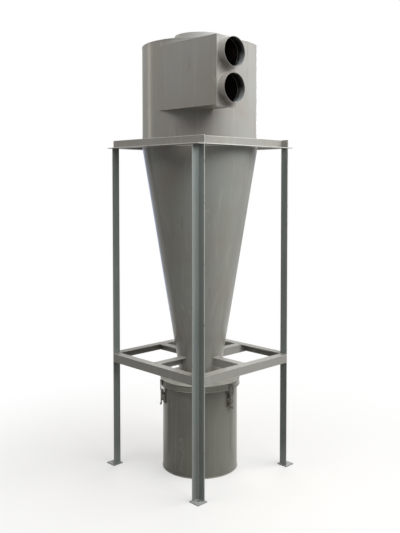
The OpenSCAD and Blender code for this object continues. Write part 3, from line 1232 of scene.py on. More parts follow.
@dataclass
class Inlet:
    """The rectangular tangential inlet with its end plate and two stub pipes."""

    plan: Plan
    shop: Paintshop
    edge: float = 0.9 * MM
    pipe_edge: float = 0.6 * MM
    hole_gap: float = 0.3 * MM
    arc_steps: int = 28
    hole_sides: int = 72
    pipe_steps: int = 112
    wall_seam_x: float = 60 * MM
    body_seam_deg: float = -86.0
    drops: int = 40
    pipe_drops: int = 4

    def build(self) -> None:
        """Builds the inlet's pieces."""
        self.walls()
        self.flats()
        self.end_plate()
        for name in PIPES:
            self.pipe(name)
        self.welds()

    def walls(self) -> None:
        """Makes the outer wall, broken along its free edges, and the inner wall."""
        low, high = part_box("inlet_outer_wall")

        def free(edge: Edge) -> bool:
            """Tells whether an edge runs along the wall or lies at its open end."""
            ends = [vert.co.x for vert in edge.verts]
            return min(ends) > low.x + MM or max(ends) - min(ends) > MM

        outer = Shape()
        outer.box(low, high)
        outer.round_edges([edge for edge in outer.bm.edges if free(edge)], self.edge)
        outer.closed().paint(lambda face: face.normal.y > 0.9)
        self.shop.finish(outer, "inlet_wall_outer", Slot.BODY, ["inlet_outer_wall"], Finish.INSIDE)
        inner = Shape()
        inner.box(*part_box("inlet_inner_wall"))
        inner.closed().paint(lambda face: face.normal.y < -0.9)
        self.shop.finish(inner, "inlet_wall_inner", Slot.BODY, ["inlet_inner_wall"], Finish.INSIDE)

    def flats(self) -> None:
        """Makes the inlet's roof and floor, fitted round the body."""
        inner_r = self.plan.body_r - self.plan.sheet_t
        sheets = (("inlet_roof", "inlet_top_sheet", -Z), ("inlet_floor", "inlet_bottom_sheet", Z))
        for node, name, inward in sheets:
            low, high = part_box(node)
            from_turn = math.asin(high.y / inner_r)
            to_turn = -math.acos(low.x / inner_r)
            turns = [from_turn + (to_turn - from_turn) * step / self.arc_steps
                     for step in range(self.arc_steps)]
            corners = [Vector(corner) for corner in
                       ((low.x, low.y, low.z), (high.x, low.y, low.z), (high.x, high.y, low.z))]
            arc = [Vector((inner_r * math.cos(turn), inner_r * math.sin(turn), low.z)) for turn in turns]
            shape = Shape()
            shape.extrude([shape.outline(corners + arc)], Z * (high.z - low.z))
            shape.closed().paint(lambda face: face.normal.dot(inward) > 0.9)
            self.shop.finish(shape, name, Slot.BODY, [node], Finish.INSIDE)

    def pipe_axis(self, name: str, x: float) -> tuple[Vector, float]:
        """Gives a point on a stub pipe's axis and the pipe's radius.

        Args:
            name: Which of the two pipes it is.
            x: The point's own x.

        Returns:
            The point and the radius.
        """
        low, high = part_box(f"inlet_pipe_{name}")
        return Vector((x, (low.y + high.y) / 2, (low.z + high.z) / 2)), (high.y - low.y) / 2

    def end_plate(self) -> None:
        """Makes the end plate with its two holes."""
        low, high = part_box("inlet_end_plate")
        holes = []
        for name in PIPES:
            middle, radius = self.pipe_axis(name, low.x)
            place = Matrix.Translation(middle) @ Matrix.Rotation(math.pi / 2, 4, "Y")
            holes.append((place, radius - self.plan.sheet_t + self.hole_gap))
        corners = [Vector((low.x, y, z)) for y, z in
                   ((low.y, low.z), (high.y, low.z), (high.y, high.z), (low.y, high.z))]

        def on_rim(vert: Vert) -> bool:
            """Tells whether a corner lies on the rim of the plate's outer face."""
            near = min(vert.co.y - low.y, high.y - vert.co.y, vert.co.z - low.z, high.z - vert.co.z)
            return near < MERGE and vert.co.x > high.x - MERGE

        shape = Shape()
        shape.plate(corners, holes, self.hole_sides, X * (high.x - low.x))
        rim = [edge for edge in shape.sharp_edges() if all(on_rim(vert) for vert in edge.verts)]
        shape.round_edges(rim, self.edge)
        shape.closed().paint(lambda face: face.normal.x < -0.9)
        self.shop.finish(shape, "inlet_face_plate", Slot.BODY, ["inlet_end_plate"], Finish.INSIDE)

    def pipe(self, name: str) -> None:
        """Makes one stub pipe, dark inside.

        Args:
            name: Which of the two pipes it is.
        """
        low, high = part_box(f"inlet_pipe_{name}")
        middle, radius = self.pipe_axis(name, low.x)
        shape = ring((radius - self.plan.sheet_t, radius), (0.0, high.x - low.x), self.pipe_steps, (2, 3),
                     self.pipe_edge, 2)
        shape.paint_bore()
        place = Matrix.Translation(middle) @ Matrix.Rotation(math.pi / 2, 4, "Y")
        bmesh.ops.transform(shape.bm, matrix=place, verts=shape.bm.verts[:])
        self.shop.finish(shape, f"stub_pipe_{name}", Slot.BODY, [f"inlet_pipe_{name}"], Finish.PIPE_MOUTH)

    def welds(self) -> None:
        """Lays the beads round the inlet and its pipes."""
        plan = self.plan
        low, high = plan.inlet_low, plan.inlet_high
        fine, thin = WeldBead(1.2 * MM, 2.2 * MM), WeldBead(1.0 * MM, 2.2 * MM)
        rim_x = high.x - 3 * MM
        rim = [(rim_x, low.y, low.z), (rim_x, low.y, high.z), (rim_x, high.y, high.z), (rim_x, high.y, low.z)]
        beads = [fine.straight(rim[index], rim[(index + 1) % 4]) for index in range(4)]
        for corner, z in zip(rim, (low.z + 0.3 * MM, high.z - 0.3 * MM)):
            beads.append(thin.straight((self.wall_seam_x, low.y + 0.5 * MM, z), corner))
        inner_x = math.sqrt(plan.body_r ** 2 - high.y ** 2)
        inner_deg = math.degrees(math.asin(high.y / plan.body_r))
        for z in (low.z, high.z):
            beads.append(fine.straight((inner_x, high.y, z), (high.x, high.y, z)))
            beads.append(fine.arc(plan.body_r + 0.4 * MM, z, self.body_seam_deg, inner_deg))
        root_x, root_y = inner_x + 0.6 * MM, high.y + 0.6 * MM
        beads.append(WeldBead().straight((root_x, root_y, low.z), (root_x, root_y, high.z)))
        for seed, name in enumerate(PIPES, start=11):
            beads += self.pipe_welds(name, seed)
        self.shop.finish_seams(beads, "inlet_welds", Slot.BODY)

    def pipe_welds(self, name: str, seed: int) -> list[Shape]:
        """Lays the bead round one stub pipe, with its spatter on the plate and along the pipe.

        Args:
            name: Which of the two pipes it is.
            seed: The number that the plate's spatter is drawn from.

        Returns:
            The beads and drops.
        """
        fillet = WeldBead(3.4 * MM, 3.8 * MM, 0.26, 0.9 * MM)
        at_plate, pipe_r = self.pipe_axis(name, self.plan.inlet_high.x)
        middle, ring_r = at_plate + X * 1.4 * MM, pipe_r + 1.8 * MM
        count = round(math.tau * ring_r / fillet.pitch)
        turns = [math.tau * step / count for step in range(count)]
        seam = [middle + ring_r * (Y * math.cos(turn) + Z * math.sin(turn)) for turn in turns]
        beads = [
            fillet.laid(seam, True),
            Spatter(seed).around(at_plate, X, (ring_r + 3 * MM, ring_r + 13 * MM), self.drops),
        ]
        for turn in range(0, 360, 30):
            outward = Matrix.Rotation(math.radians(turn), 4, "X") @ Z
            start = at_plate + outward * pipe_r + X * 4 * MM
            beads.append(Spatter(turn).along(start, start, X * 22 * MM, self.pipe_drops))
        return beads


@dataclass
class Stand:
    """The square angle iron stand: top frame, lower frame with its cross, posts and feet.

    Each piece is drawn at the stand's front or right side and turned to its own.
    """

    plan: Plan
    shop: Paintshop
    thickness: float = 5 * MM
    root_r: float = 5.5 * MM
    toe_r: float = 2.6 * MM
    heel_r: float = 0.9 * MM
    cross_x: float = 100 * MM
    cross_gap: float = 0.3 * MM
    cross_cuts: int = 6
    bolt_r: float = 7 * MM
    bolt_sides: int = 40
    foot_edge: float = 0.7 * MM
    stitch_deg: float = 4.0
    drops: int = 16
    bead: WeldBead = WeldBead(2.4 * MM)
    fine: WeldBead = WeldBead(1.6 * MM, 2.2 * MM)

    def build(self) -> None:
        """Builds the stand's pieces."""
        for side in Side:
            self.top_beam(side)
            self.lower_beam(side)
            self.cross_bar(side)
            self.post(side)
            self.foot(side)
        self.welds()

    def angle(self, heel: Vector, along: Vector, out: Vector, up: Vector, cuts: int = 0) -> Shape:
        """Makes a length of hot-rolled angle iron with its round root and toes.

        Args:
            heel: The section's outer corner at the start.
            along: The way and the length.
            out: The way one flange goes.
            up: The way the other flange goes.
            cuts: How often the section's long edges are divided.

        Returns:
            The bar.
        """
        wide, thick = self.plan.angle_w, self.thickness
        corners = ((0.0, 0.0), (wide, 0.0), (wide, thick), (thick, thick), (thick, wide), (0.0, wide))
        shape = Shape()
        verts = list(shape.outline([heel + out * right + up * rise for right, rise in corners]).verts)
        shape.round_corners([verts[3]], self.root_r, 4)
        shape.round_corners([verts[2], verts[4]], self.toe_r, 3)
        shape.round_corners([verts[0], verts[1], verts[5]], self.heel_r, 2)
        if cuts:
            long_edges = [edge for edge in shape.bm.edges if edge.calc_length() > wide / 2]
            bmesh.ops.subdivide_edges(shape.bm, edges=long_edges, cuts=cuts)
        shape.extrude(shape.bm.faces[:], along)
        return shape.closed()

    def top_beam(self, side: Side) -> None:
        """Makes one side of the top frame, the longer ones in front and at the back.

        Args:
            side: The side.
        """
        plan = self.plan
        half = plan.frame_in if side in (Side.RIGHT, Side.LEFT) else plan.frame_out
        bar = self.angle(Vector((-half, -plan.frame_in, plan.stand_h)), X * 2 * half, -Y, Z).turned(side.turn)
        self.shop.finish(bar, f"frame_top_{side.label}", Slot.FRAME, [f"top_beam_{side.label}"])

    def lower_beam(self, side: Side) -> None:
        """Makes one side of the lower frame.

        Args:
            side: The side.
        """
        half = self.plan.frame_in
        heel = Vector((-half, -self.plan.frame_out, self.plan.lower_h))
        bar = self.angle(heel, X * 2 * half, Y, -Z).turned(side.turn)
        self.shop.finish(bar, f"frame_low_{side.label}", Slot.FRAME, [f"lower_beam_{side.label}"])

    def cross_bar(self, side: Side) -> None:
        """Makes one bar of the cross, its inner end cut to the cone.

        Args:
            side: The side.
        """
        plan = self.plan
        heel = Vector((self.cross_x, -plan.angle_w / 2, plan.lower_h))
        bar = self.angle(heel, X * (plan.frame_in - self.cross_x), Y, -Z, self.cross_cuts)
        for vert in bar.bm.verts:
            if vert.co.x < self.cross_x + MERGE:
                reach = plan.cone_r(vert.co.z) + self.cross_gap
                vert.co.x = math.sqrt(reach ** 2 - vert.co.y ** 2)
        inside_w = plan.angle_w - self.thickness
        tongue = Vector((plan.frame_in - MM, -plan.angle_w / 2, plan.lower_h - plan.angle_w))
        bar.box(tongue, tongue + Vector((inside_w + MM, self.thickness, inside_w)), self.heel_r)
        # The bar is drawn on the right side, a quarter turn past the front one
        turn = side.turn @ Matrix.Rotation(-math.pi / 2, 4, "Z")
        self.shop.finish(bar.turned(turn), f"cross_{side.label}", Slot.FRAME, [f"cross_bar_{side.label}"])

    def post(self, side: Side) -> None:
        """Makes the post at the right end of one side.

        Args:
            side: The side.
        """
        plan = self.plan
        corner = CORNERS[side]
        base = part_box(f"post_{corner}")[0].z
        bar = self.angle(Vector((plan.frame_in, -plan.frame_in, base)), Z * (plan.stand_h - base), X, -Y)
        self.shop.finish(bar.turned(side.turn), f"stand_post_{corner}", Slot.POST, [f"post_{corner}"])

    def foot(self, side: Side) -> None:
        """Makes the foot plate, with its bolt hole, at the right end of one side.

        Args:
            side: The side.
        """
        corner = CORNERS[side]
        low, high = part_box("foot_front_right")
        middle = self.plan.frame_in + (self.plan.angle_w + self.thickness) / 2
        hole = (Matrix.Translation((middle, -middle, 0)), self.bolt_r)
        corners = [Vector((x, y, 0)) for x, y in
                   ((low.x, low.y), (high.x, low.y), (high.x, high.y), (low.x, high.y))]
        shape = Shape()
        shape.plate(corners, [hole], self.bolt_sides, Z * (high.z - low.z))
        shape.round_edges(shape.sharp_edges(), self.foot_edge)
        self.shop.finish(shape.turned(side.turn), f"foot_plate_{corner}", Slot.POST, [f"foot_{corner}"])

    def welds(self) -> None:
        """Lays the beads at the stand's joints, once for the front right corner and turned to each."""
        corner = Shape.joined(self.post_welds() + self.cross_welds() + self.body_stitches() + self.spatter())
        self.shop.finish_seams([corner.turned(side.turn) for side in Side], "stand_welds", Slot.FRAME)
        corner.bm.free()

    def post_welds(self) -> list[Shape]:
        """Lays the beads between a post, the two frames and the foot plate.

        Returns:
            The beads.
        """
        plan = self.plan
        inner, outer = plan.frame_in, plan.frame_out
        near, far = inner + self.thickness, inner + plan.angle_w
        beads = []
        # Under the top frame along both flanges of the post, and round the post's foot
        for z in (plan.stand_h - MM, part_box("post_front_right")[0].z + MM):
            beads.append(self.bead.straight((near, -near - MM, z), (far, -near - MM, z)))
            beads.append(self.bead.straight((near + MM, -near, z), (near + MM, -far, z)))
        # Butt joint of two top beams, on the flat flange's upper face
        top = plan.stand_h + self.thickness
        beads.append(self.fine.straight((inner, -inner - MM, top), (inner, -outer + MM, top)))
        # Ends of the lower beams against the post
        low = plan.lower_h + 0.4 * MM
        start, end = inner + self.thickness, outer - 2 * MM
        beads.append(self.bead.straight((inner - MM, -start, low), (inner - MM, -end, low)))
        beads.append(self.bead.straight((start, -inner + MM, low), (end, -inner + MM, low)))
        return beads

    def cross_welds(self) -> list[Shape]:
        """Lays the beads of the right side's cross bar, at the cone and at the lower beam.

        Returns:
            The beads.
        """
        plan = self.plan
        half, low = plan.angle_w / 2, plan.lower_h
        reach = plan.cone_r(low)
        half_deg = math.degrees(math.asin(half / reach))
        ends = [(math.sqrt((plan.cone_r(z) + MM) ** 2 - (half + MM) ** 2), -half - MM, z)
                for z in (low - plan.angle_w, low)]
        return [
            self.bead.arc(reach + MM, low + 0.6 * MM, -half_deg, half_deg),
            self.fine.straight((plan.frame_in, -half, low + 0.2 * MM), (plan.frame_in, half, low + 0.2 * MM)),
            self.bead.straight(*ends),
        ]

    def body_stitches(self) -> list[Shape]:
        """Lays the stitches between the body and the right top beam's standing flange.

        Returns:
            The beads.
        """
        radius = self.plan.body_r + 1.2 * MM
        height = self.plan.stand_h + self.plan.angle_w + 0.4 * MM
        return [self.fine.arc(radius, height, middle - self.stitch_deg, middle + self.stitch_deg)
                for middle in (-1.5 * self.stitch_deg, 1.5 * self.stitch_deg)]

    def spatter(self) -> list[Shape]:
        """Scatters drops on both flanges of the post under the top frame.

        Returns:
            The drops.
        """
        face = self.plan.frame_in + self.thickness
        near, far = face + 4 * MM, self.plan.frame_in + self.plan.angle_w - 4 * MM
        z = self.plan.stand_h - 3 * MM
        down = Z * -26 * MM
        return [
            Spatter(31).along((near, -face, z), (far, -face, z), down, self.drops),
            Spatter(32).along((face, -near, z), (face, -far, z), down, self.drops),
        ]


@dataclass
class Drum:
    """The dust drum with its rim and its lid."""

    plan: Plan
    shop: Paintshop
    steps: int = 168
    rows: int = 18
    sheet_t: float = 2 * MM
    waves: Waves = Waves(0.6 * MM, 2.7, 5.0, 0.3, 6.0)
    hem_r: float = 3 * MM
    hem_sides: int = 16
    shoulder_r: float = 5 * MM
    hole_gap: float = 0.3 * MM
    seam_deg: float = 150.0

    def build(self) -> None:
        """Builds the drum's pieces."""
        self.barrel()
        self.bottom()
        self.rim()
        self.lid()
        self.welds()

    def barrel(self) -> None:
        """Makes the drum's wall."""
        low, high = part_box("drum_wall")
        shape = Shape()
        face = shape.outline(section((high.x - self.sheet_t, high.x), (low.z, high.z)))
        upright = [edge for edge in face.edges if edge.calc_length() > 2 * self.sheet_t]
        # Without its face, or the cuts in the two upright edges would be joined across the wall
        bmesh.ops.delete(shape.bm, geom=[face], context="FACES_ONLY")
        bmesh.ops.subdivide_edges(shape.bm, edges=upright, cuts=self.rows - 1)
        shape.lathe(self.steps)
        for vert in shape.bm.verts:
            vert.co = self.waves.moved(vert.co, low.z, high.z)
        self.shop.finish(shape.closed(), "drum_barrel", Slot.DRUM, ["drum_wall"])

    def bottom(self) -> None:
        """Makes the floor plate with its lip."""
        low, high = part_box("drum_floor")
        shape = Shape()
        face = shape.outline(section((0.0, high.x), (low.z, high.z)))
        shape.round_corners(list(face.verts)[1:3], self.plan.broken)
        on_axis = [edge for edge in shape.bm.edges if all(abs(vert.co.x) < MERGE for vert in edge.verts)]
        bmesh.ops.delete(shape.bm, geom=shape.bm.faces[:], context="FACES_ONLY")
        bmesh.ops.delete(shape.bm, geom=on_axis, context="EDGES")
        shape.lathe(self.steps)
        self.shop.finish(shape.closed(), "drum_bottom", Slot.DRUM, ["drum_floor"])

    def rim(self) -> None:
        """Makes the rim under the lid."""
        low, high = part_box("drum_rim")
        radii = (self.plan.drum_r - self.sheet_t, high.x)
        shape = ring(radii, (low.z, high.z), self.steps, range(4), self.plan.broken)
        self.shop.finish(shape, "drum_top_ring", Slot.DRUM, ["drum_rim"])

    def lid(self) -> None:
        """Makes the pressed lid with a rolled bead at its shoulder and another at its hem."""
        low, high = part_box("drum_lid")
        hole = self.plan.tip_r + self.hole_gap
        skirt_r = high.x - self.hem_r + self.sheet_t / 2
        inside_r = skirt_r - self.sheet_t
        hem_z, under = low.z + self.hem_r, high.z - self.sheet_t
        corners = ((hole, under), (inside_r, under), (inside_r, hem_z),
                   (skirt_r, hem_z), (skirt_r, high.z), (hole, high.z))
        shape = Shape()
        verts = list(shape.outline([Vector((x, 0, z)) for x, z in corners]).verts)
        shape.round_corners([verts[1]], self.shoulder_r - self.sheet_t, 4)
        shape.round_corners([verts[4]], self.shoulder_r, 6)
        shape.lathe(self.steps)
        shape.closed()
        for height in (hem_z, high.z - self.hem_r):
            middle = Vector((skirt_r - self.sheet_t / 2, 0, height))
            place = Matrix.Translation(middle) @ Matrix.Rotation(math.pi / 2, 4, "X")
            bead = Shape()
            bmesh.ops.create_circle(bead.bm, cap_ends=False, segments=self.hem_sides, radius=self.hem_r,
                                    matrix=place)
            bead.lathe(self.steps)
            shape.add(bead.closed())
        self.shop.finish(shape, "drum_cover", Slot.DRUM, ["drum_lid"])

    def welds(self) -> None:
        """Lays the drum's seams."""
        fine = WeldBead(1.6 * MM, 2.4 * MM)
        low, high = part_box("drum_wall")
        turn = math.radians(self.seam_deg)
        outward = Vector((math.cos(turn), math.sin(turn), 0.0)) * (self.plan.drum_r - 0.6 * MM)
        self.shop.finish_seams([
            fine.straight(outward + Z * low.z, outward + Z * high.z),
            fine.arc(self.plan.drum_r + 0.9 * MM, low.z + 0.6 * MM),
        ], "drum_welds", Slot.DRUM)


@dataclass
class Latches:
    """The three toggle latches that hold the lid on the drum, each drawn on +X and turned to its place.

    What ends in _out is a distance from the drum's wall, and what ends in _drop one down from the lid's top.
    """

    plan: Plan
    shop: Paintshop
    names: tuple[str, str, str] = ("right", "back", "left")
    first_deg: float = 5.0
    seat: float = 0.3 * MM
    plate_t: float = 3.6 * MM
    plate_corner: float = 4 * MM
    plate_edge: float = 0.5 * MM
    strap_edge: float = 0.8 * MM
    base_w: float = 36 * MM
    base_up: float = 20 * MM
    base_down: float = 42 * MM
    rivet_r: float = 3.2 * MM
    rivet_dome: float = 0.62
    pivot_out: float = 12 * MM
    pivot_drop: float = 104 * MM
    pin_r: float = 4 * MM
    pin_half: float = 16.5 * MM
    ear_t: float = 3 * MM
    lever_w: float = 22 * MM
    lever_h: float = 94 * MM
    lever_drop: float = 62 * MM
    wire_r: float = 2.5 * MM
    wire_out: float = 20.2 * MM
    wire_drop: float = 70 * MM
    wire_half: float = 14.5 * MM
    wire_bend: float = 6 * MM
    bend_steps: int = 6
    wire_sides: int = 12
    skirt_out: float = 14 * MM
    hook_w: float = 24 * MM
    hook_drop: float = 8 * MM
    hook_h: float = 22 * MM
    hook_rivet_r: float = 2.6 * MM
    tongue_w: float = 16 * MM
    tongue_out: float = 12 * MM
    tongue_t: float = 6 * MM
    lip_t: float = 3 * MM
    lip_h: float = 5 * MM

    def build(self) -> None:
        """Builds the latches and their hooks."""
        for index, name in enumerate(self.names):
            turn = Matrix.Rotation(math.radians(self.first_deg + 120.0 * index), 4, "Z")
            self.shop.finish(self.toggle().turned(turn), f"toggle_{name}", Slot.LATCH, [f"latch_{name}"])
            self.shop.finish(self.hook().turned(turn), f"hook_{name}", Slot.LATCH, [f"latch_catch_{name}"])

    def curved_plate(self, radius: float, low: float, high: float, width: float) -> Shape:
        """Makes a plate bent to the drum, its corners rounded.

        Args:
            radius: The radius of its back.
            low: Its lower edge.
            high: Its upper edge.
            width: Its width along the drum.

        Returns:
            The plate.
        """
        half = width / 2
        shape = Shape()
        face = shape.outline([Vector((radius, y, z)) for y, z in
                              ((-half, low), (half, low), (half, high), (-half, high))])
        shape.round_corners(list(face.verts), self.plate_corner, 4)
        shape.extrude(shape.bm.faces[:], X * self.plate_t)
        for across in (-half / 2, 0.0, half / 2):
            shape.cut(Y * across, Y)
        for vert in shape.bm.verts:
            vert.co.x = math.sqrt(vert.co.x ** 2 - vert.co.y ** 2)
        shape.closed()
        shape.round_edges(shape.sharp_edges(60), self.plate_edge)
        return shape

    def rivet(self, x: float, y: float, z: float, radius: float) -> Shape:
        """Makes a dome head rivet that faces outward.

        Args:
            x: The middle of its flat side, along X.
            y: The same along Y.
            z: The same along Z.
            radius: Its radius.

        Returns:
            The rivet.
        """
        shape = Shape()
        made = bmesh.ops.create_uvsphere(shape.bm, u_segments=16, v_segments=10, radius=radius)
        bmesh.ops.scale(shape.bm, vec=Vector((self.rivet_dome, 1.0, 1.0)), verts=made["verts"])
        bmesh.ops.translate(shape.bm, vec=Vector((x, y, z)), verts=made["verts"])
        return shape

    def strap(self, points: Sequence[tuple[float, float]], width: float) -> Shape:
        """Makes a bent strap, drawn across the latch.

        Args:
            points: Distance from the axis and height of each corner of its side view.
            width: Its width.

        Returns:
            The strap.
        """
        shape = Shape()
        face = shape.outline([Vector((x, -width / 2, z)) for x, z in points])
        shape.extrude([face], Y * width)
        shape.closed()
        shape.round_edges(shape.sharp_edges(30), self.strap_edge)
        return shape

    def toggle(self) -> Shape:
        """Makes the base plate, ears, lever and wire loop of one latch.

        Returns:
            The latch.
        """
        drum_r, lid_z = self.plan.drum_r, self.plan.lid_z
        pivot = Vector((drum_r + self.pivot_out, 0, lid_z - self.pivot_drop))
        wire_x, wire_z = drum_r + self.wire_out, lid_z - self.wire_drop
        shape = self.base(pivot.z)
        for side in (-1, 1):
            shape.add(self.ear(pivot, side))
        shape.rod(pivot - Y * self.pin_half, pivot + Y * self.pin_half, self.pin_r)
        self.add_lever(shape, pivot, wire_x - self.plate_t / 2)
        wire = Vector((wire_x, 0, wire_z))
        shape.rod(wire - Y * self.wire_half, wire + Y * self.wire_half, self.wire_r)
        shape.add(self.wire_loop(wire_x, wire_z, lid_z - self.hook_drop + self.wire_r + self.seat))
        return shape

    def base(self, middle: float) -> Shape:
        """Makes the base plate with its three rivets.

        Args:
            middle: The height of the lever's pivot.

        Returns:
            The plate and rivets.
        """
        drum_r = self.plan.drum_r
        low, high = middle - self.base_down, middle + self.base_up
        shape = self.curved_plate(drum_r + self.seat, low, high, self.base_w)
        for y, z in ((-11 * MM, low + 8 * MM), (11 * MM, low + 8 * MM), (0.0, high - 7 * MM)):
            shape.add(self.rivet(drum_r + self.plate_t, y, z, self.rivet_r))
        return shape

    def ear(self, pivot: Vector, side: int) -> Shape:
        """Makes one of the two ears that carry the pivot pin.

        Args:
            pivot: The middle of the pin.
            side: -1 or 1, the side of the lever that it is on.

        Returns:
            The ear.
        """
        root_x, end_x = self.plan.drum_r + 2 * MM, pivot.x + 8 * MM
        y = side * (self.lever_w / 2 + self.ear_t / 2)
        corners = ((root_x, pivot.z - 13 * MM), (root_x, pivot.z + 13 * MM),
                   (end_x, pivot.z + 9 * MM), (end_x, pivot.z - 9 * MM))
        ear = Shape()
        face = ear.outline([Vector((x, y, z)) for x, z in corners])
        ear.round_corners(list(face.verts)[2:], 6 * MM, 5)
        ear.extrude(ear.bm.faces[:], Y * side * self.ear_t)
        return ear.closed()

    def add_lever(self, latch: Shape, pivot: Vector, x: float) -> None:
        """Adds the lever: a strap bent out at its lower end, with a web on each side to the pin.

        Args:
            latch: The latch that it is added to.
            pivot: The middle of the pin.
            x: The distance of the strap's back from the drum's axis.
        """
        front = x + self.plate_t
        top = self.plan.lid_z - self.lever_drop
        low = top - self.lever_h
        latch.add(self.strap([(x, top), (front, top), (front, low + 14 * MM), (x + 9 * MM, low + 2 * MM),
                              (x + 6 * MM, low), (x, low + 12 * MM)], self.lever_w))
        for side in (-1, 1):
            y = side * (self.lever_w / 2 - MM)
            web = Vector((pivot.x - 4 * MM, y - MM, pivot.z - 24 * MM))
            latch.box(web, Vector((x + MM, y + MM, top)), self.plate_edge)

    def wire_loop(self, reach: float, low: float, high: float) -> Shape:
        """Makes the wire loop, a round-cornered frame.

        Args:
            reach: Its distance from the drum's axis.
            low: The height of its lower bar.
            high: The height of its upper bar.

        Returns:
            The loop.
        """
        bend = self.wire_bend
        path = []
        for side_y, side_z, start in ((1, 1, 0.0), (-1, 1, 0.5), (-1, -1, 1.0), (1, -1, 1.5)):
            bar_z = high if side_z > 0 else low
            middle = Vector((reach, side_y * (self.wire_half - bend), bar_z - side_z * bend))
            for step in range(self.bend_steps + 1):
                turn = math.pi * (start + 0.5 * step / self.bend_steps)
                path.append(middle + bend * (Y * math.cos(turn) + Z * math.sin(turn)))
        return sweep(path, self.wire_r, True, self.wire_sides)

    def hook(self) -> Shape:
        """Makes the hook on the lid's skirt.

        Returns:
            The hook.
        """
        skirt_r = self.plan.drum_r + self.skirt_out
        top = self.plan.lid_z - self.hook_drop
        low = top - self.hook_h
        shape = self.curved_plate(skirt_r + self.seat, low, top, self.hook_w)
        for y in (-7 * MM, 7 * MM):
            shape.add(self.rivet(skirt_r + self.plate_t, y, low + 6 * MM, self.hook_rivet_r))
        root_x, end_x = skirt_r + MM, skirt_r + self.tongue_out
        shape.add(self.strap([(root_x, top - self.tongue_t), (end_x, top - self.tongue_t),
                              (end_x, top + self.lip_h), (end_x - self.lip_t, top + self.lip_h),
                              (end_x - self.lip_t, top), (root_x, top)], self.tongue_w))
        return shape


def aim(thing: bpy.types.Object, place: Triple, target: Triple) -> None:
    """Puts a lamp or a camera in its place and turns it to its target.

    Args:
        thing: The lamp or camera.
        place: Where it goes.
        target: The point that it is turned to.
    """
    thing.location = place
    thing.rotation_mode = "QUATERNION"
    thing.rotation_quaternion = (Vector(target) - Vector(place)).to_track_quat("-Z", "Y")
    bpy.context.scene.collection.objects.link(thing)


@dataclass(frozen=True)
class Lamp:
    """A soft box of the studio, which shows in gloss only if it is mirrored."""

    name: str
    place: Triple
    target: Triple
    width: float
    height: float
    power: float
    colour: Triple = (1.0, 1.0, 1.0)
    mirrored: bool = True

    def hang(self) -> None:
        """Hangs the lamp and turns it to its target."""
        data = bpy.data.lights.new(self.name, "AREA")
        data.shape = "RECTANGLE"
        data.size = self.width
        data.size_y = self.height
        data.energy = self.power
        data.color = self.colour
        lamp = bpy.data.objects.new(self.name, data)
        lamp.visible_camera = False
        lamp.visible_glossy = self.mirrored
        aim(lamp, self.place, self.target)


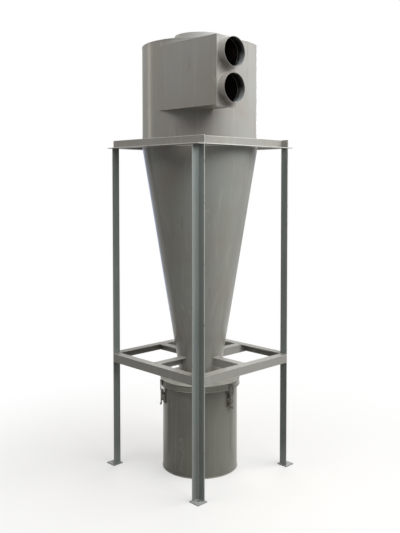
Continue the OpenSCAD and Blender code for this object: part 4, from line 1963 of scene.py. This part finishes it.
@dataclass(frozen=True)
class Studio:
    """The floor, the lamps, the world and the camera."""

    eye: Triple = (3.067, -2.964, 1.740)
    target: Triple = (0.0, 0.0, 1.56)
    lens: float = 47.0
    shift_y: float = -0.10
    lamps: tuple[Lamp, ...] = (
        Lamp("key_right", (2.6, 2.2, 4.9), (0.0, 0.0, 1.6), 3.0, 3.0, 242.0, (1.0, 1.0, 1.0), False),
        Lamp("side_right", (3.5, 0.0, 4.3), (0.0, 0.0, 1.3), 2.4, 2.4, 96.0, (0.94, 0.97, 1.0), False),
        Lamp("near_right", (2.2, -0.7, 2.9), (0.3, -0.2, 2.2), 1.0, 1.0, 11.0, (0.92, 0.96, 1.0), False),
        Lamp("low_right", (3.4, -0.7, 1.7), (0.0, 0.0, 1.7), 1.2, 2.4, 7.0, (0.90, 0.96, 1.0), False),
        Lamp("fill_front", (-0.4, -2.0, 5.2), (0.0, -0.3, 2.6), 2.0, 2.0, 86.0, (1.0, 0.985, 0.955), False),
        Lamp("back_left", (-2.6, 3.0, 3.6), (0.0, 0.0, 1.3), 2.4, 2.4, 95.0, (1.0, 0.99, 0.97), False),
        Lamp("strip_left", (-2.95, -1.22, 2.75), (0.0, 0.0, 2.75), 0.50, 1.4, 4.8, (1.0, 0.91, 0.74)),
        Lamp("sky_left", (-3.3, 1.1, 1.0), (0.0, 0.0, 1.0), 0.9, 2.0, 4.0, (0.28, 0.45, 1.0)),
        Lamp("edge_right", (-1.25, 3.3, 2.8), (0.0, 0.0, 2.4), 0.5, 1.6, 12.0, (0.92, 0.90, 1.0)),
    )
    mirrored: float = 0.38
    floor_size: float = 60.0
    floor_colour: Colour = srgb(214, 212, 206)
    floor_bounce: Colour = srgb(82, 76, 67)
    floor_roughness: float = 0.85
    shadow_reach: tuple[float, float] = (0.5, 2.2)
    shadow_white: float = 0.5
    sky_colour: Colour = (0.95, 0.97, 1.0, 1.0)
    sky_strength: float = 0.18

    def build(self) -> None:
        """Builds the studio."""
        self.floor()
        self.world()
        for lamp in self.lamps:
            lamp.hang()
        self.camera()

    def floor(self) -> None:
        """Lays a pale floor that keeps the shadow and runs out into the white background."""
        shape = Shape()
        bmesh.ops.create_grid(shape.bm, x_segments=2, y_segments=2, size=self.floor_size / 2)
        mesh = bpy.data.meshes.new("floor")
        shape.bm.to_mesh(mesh)
        shape.bm.free()
        ground = bpy.data.objects.new("floor", mesh)
        bpy.context.scene.collection.objects.link(ground)
        nodes = Coating("pale_floor")
        nodes.put("Roughness", self.floor_roughness)
        bounced = nodes.add("ShaderNodeLightPath").outputs["Is Diffuse Ray"]
        nodes.put("Base Color", nodes.blend(bounced, self.floor_colour, self.floor_bounce))
        distance = nodes.add("ShaderNodeVectorMath", operation="LENGTH")
        nodes.feed(distance.inputs[0], nodes.place)
        white = nodes.span(distance.outputs["Value"], *self.shadow_reach, self.shadow_white, 1.0)
        share = nodes.math("MULTIPLY", nodes.seen(self.mirrored), white)
        glow = nodes.add("ShaderNodeEmission")
        surface = nodes.either(share, nodes.shader.outputs[0], glow.outputs[0])
        nodes.feed(nodes.tree.nodes["Material Output"].inputs["Surface"], surface)
        mesh.materials.append(nodes.material)

    def world(self) -> None:
        """Sets a soft grey light all round, and white where the camera sees past the floor."""
        world = bpy.data.worlds.new("studio")
        bpy.context.scene.world = world
        world.use_nodes = True
        world.node_tree.nodes.clear()
        nodes = Wiring(world.node_tree)
        soft = nodes.add("ShaderNodeBackground")
        nodes.feed(soft.inputs["Color"], self.sky_colour)
        nodes.feed(soft.inputs["Strength"], self.sky_strength)
        white = nodes.add("ShaderNodeBackground")
        nodes.feed(white.inputs["Color"], (1.0, 1.0, 1.0, 1.0))
        out = nodes.add("ShaderNodeOutputWorld")
        sky = nodes.either(nodes.seen(self.mirrored), soft.outputs[0], white.outputs[0])
        nodes.feed(out.inputs["Surface"], sky)

    def camera(self) -> None:
        """Sets the camera where the photograph was taken from."""
        data = bpy.data.cameras.new("camera")
        data.lens = self.lens
        data.shift_y = self.shift_y
        camera = bpy.data.objects.new("camera", data)
        aim(camera, self.eye, self.target)
        bpy.context.scene.camera = camera
        bpy.context.scene.view_settings.view_transform = "Standard"


def main() -> None:
    """Builds the cyclone's looks and the studio in order."""
    logging.basicConfig(level=logging.INFO, format="%(message)s")
    # Without a seed, the vector noise that strays the weld beads differs from run to run
    noise.seed_set(NOISE_SEED)
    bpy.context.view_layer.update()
    plan = Plan()
    shop = Paintshop()
    for assembly in (Body, Inlet, Stand, Drum, Latches):
        LOG.info("building %s", assembly.__name__)
        assembly(plan, shop).build()
    Studio().build()


if __name__ == "__main__":
    main()
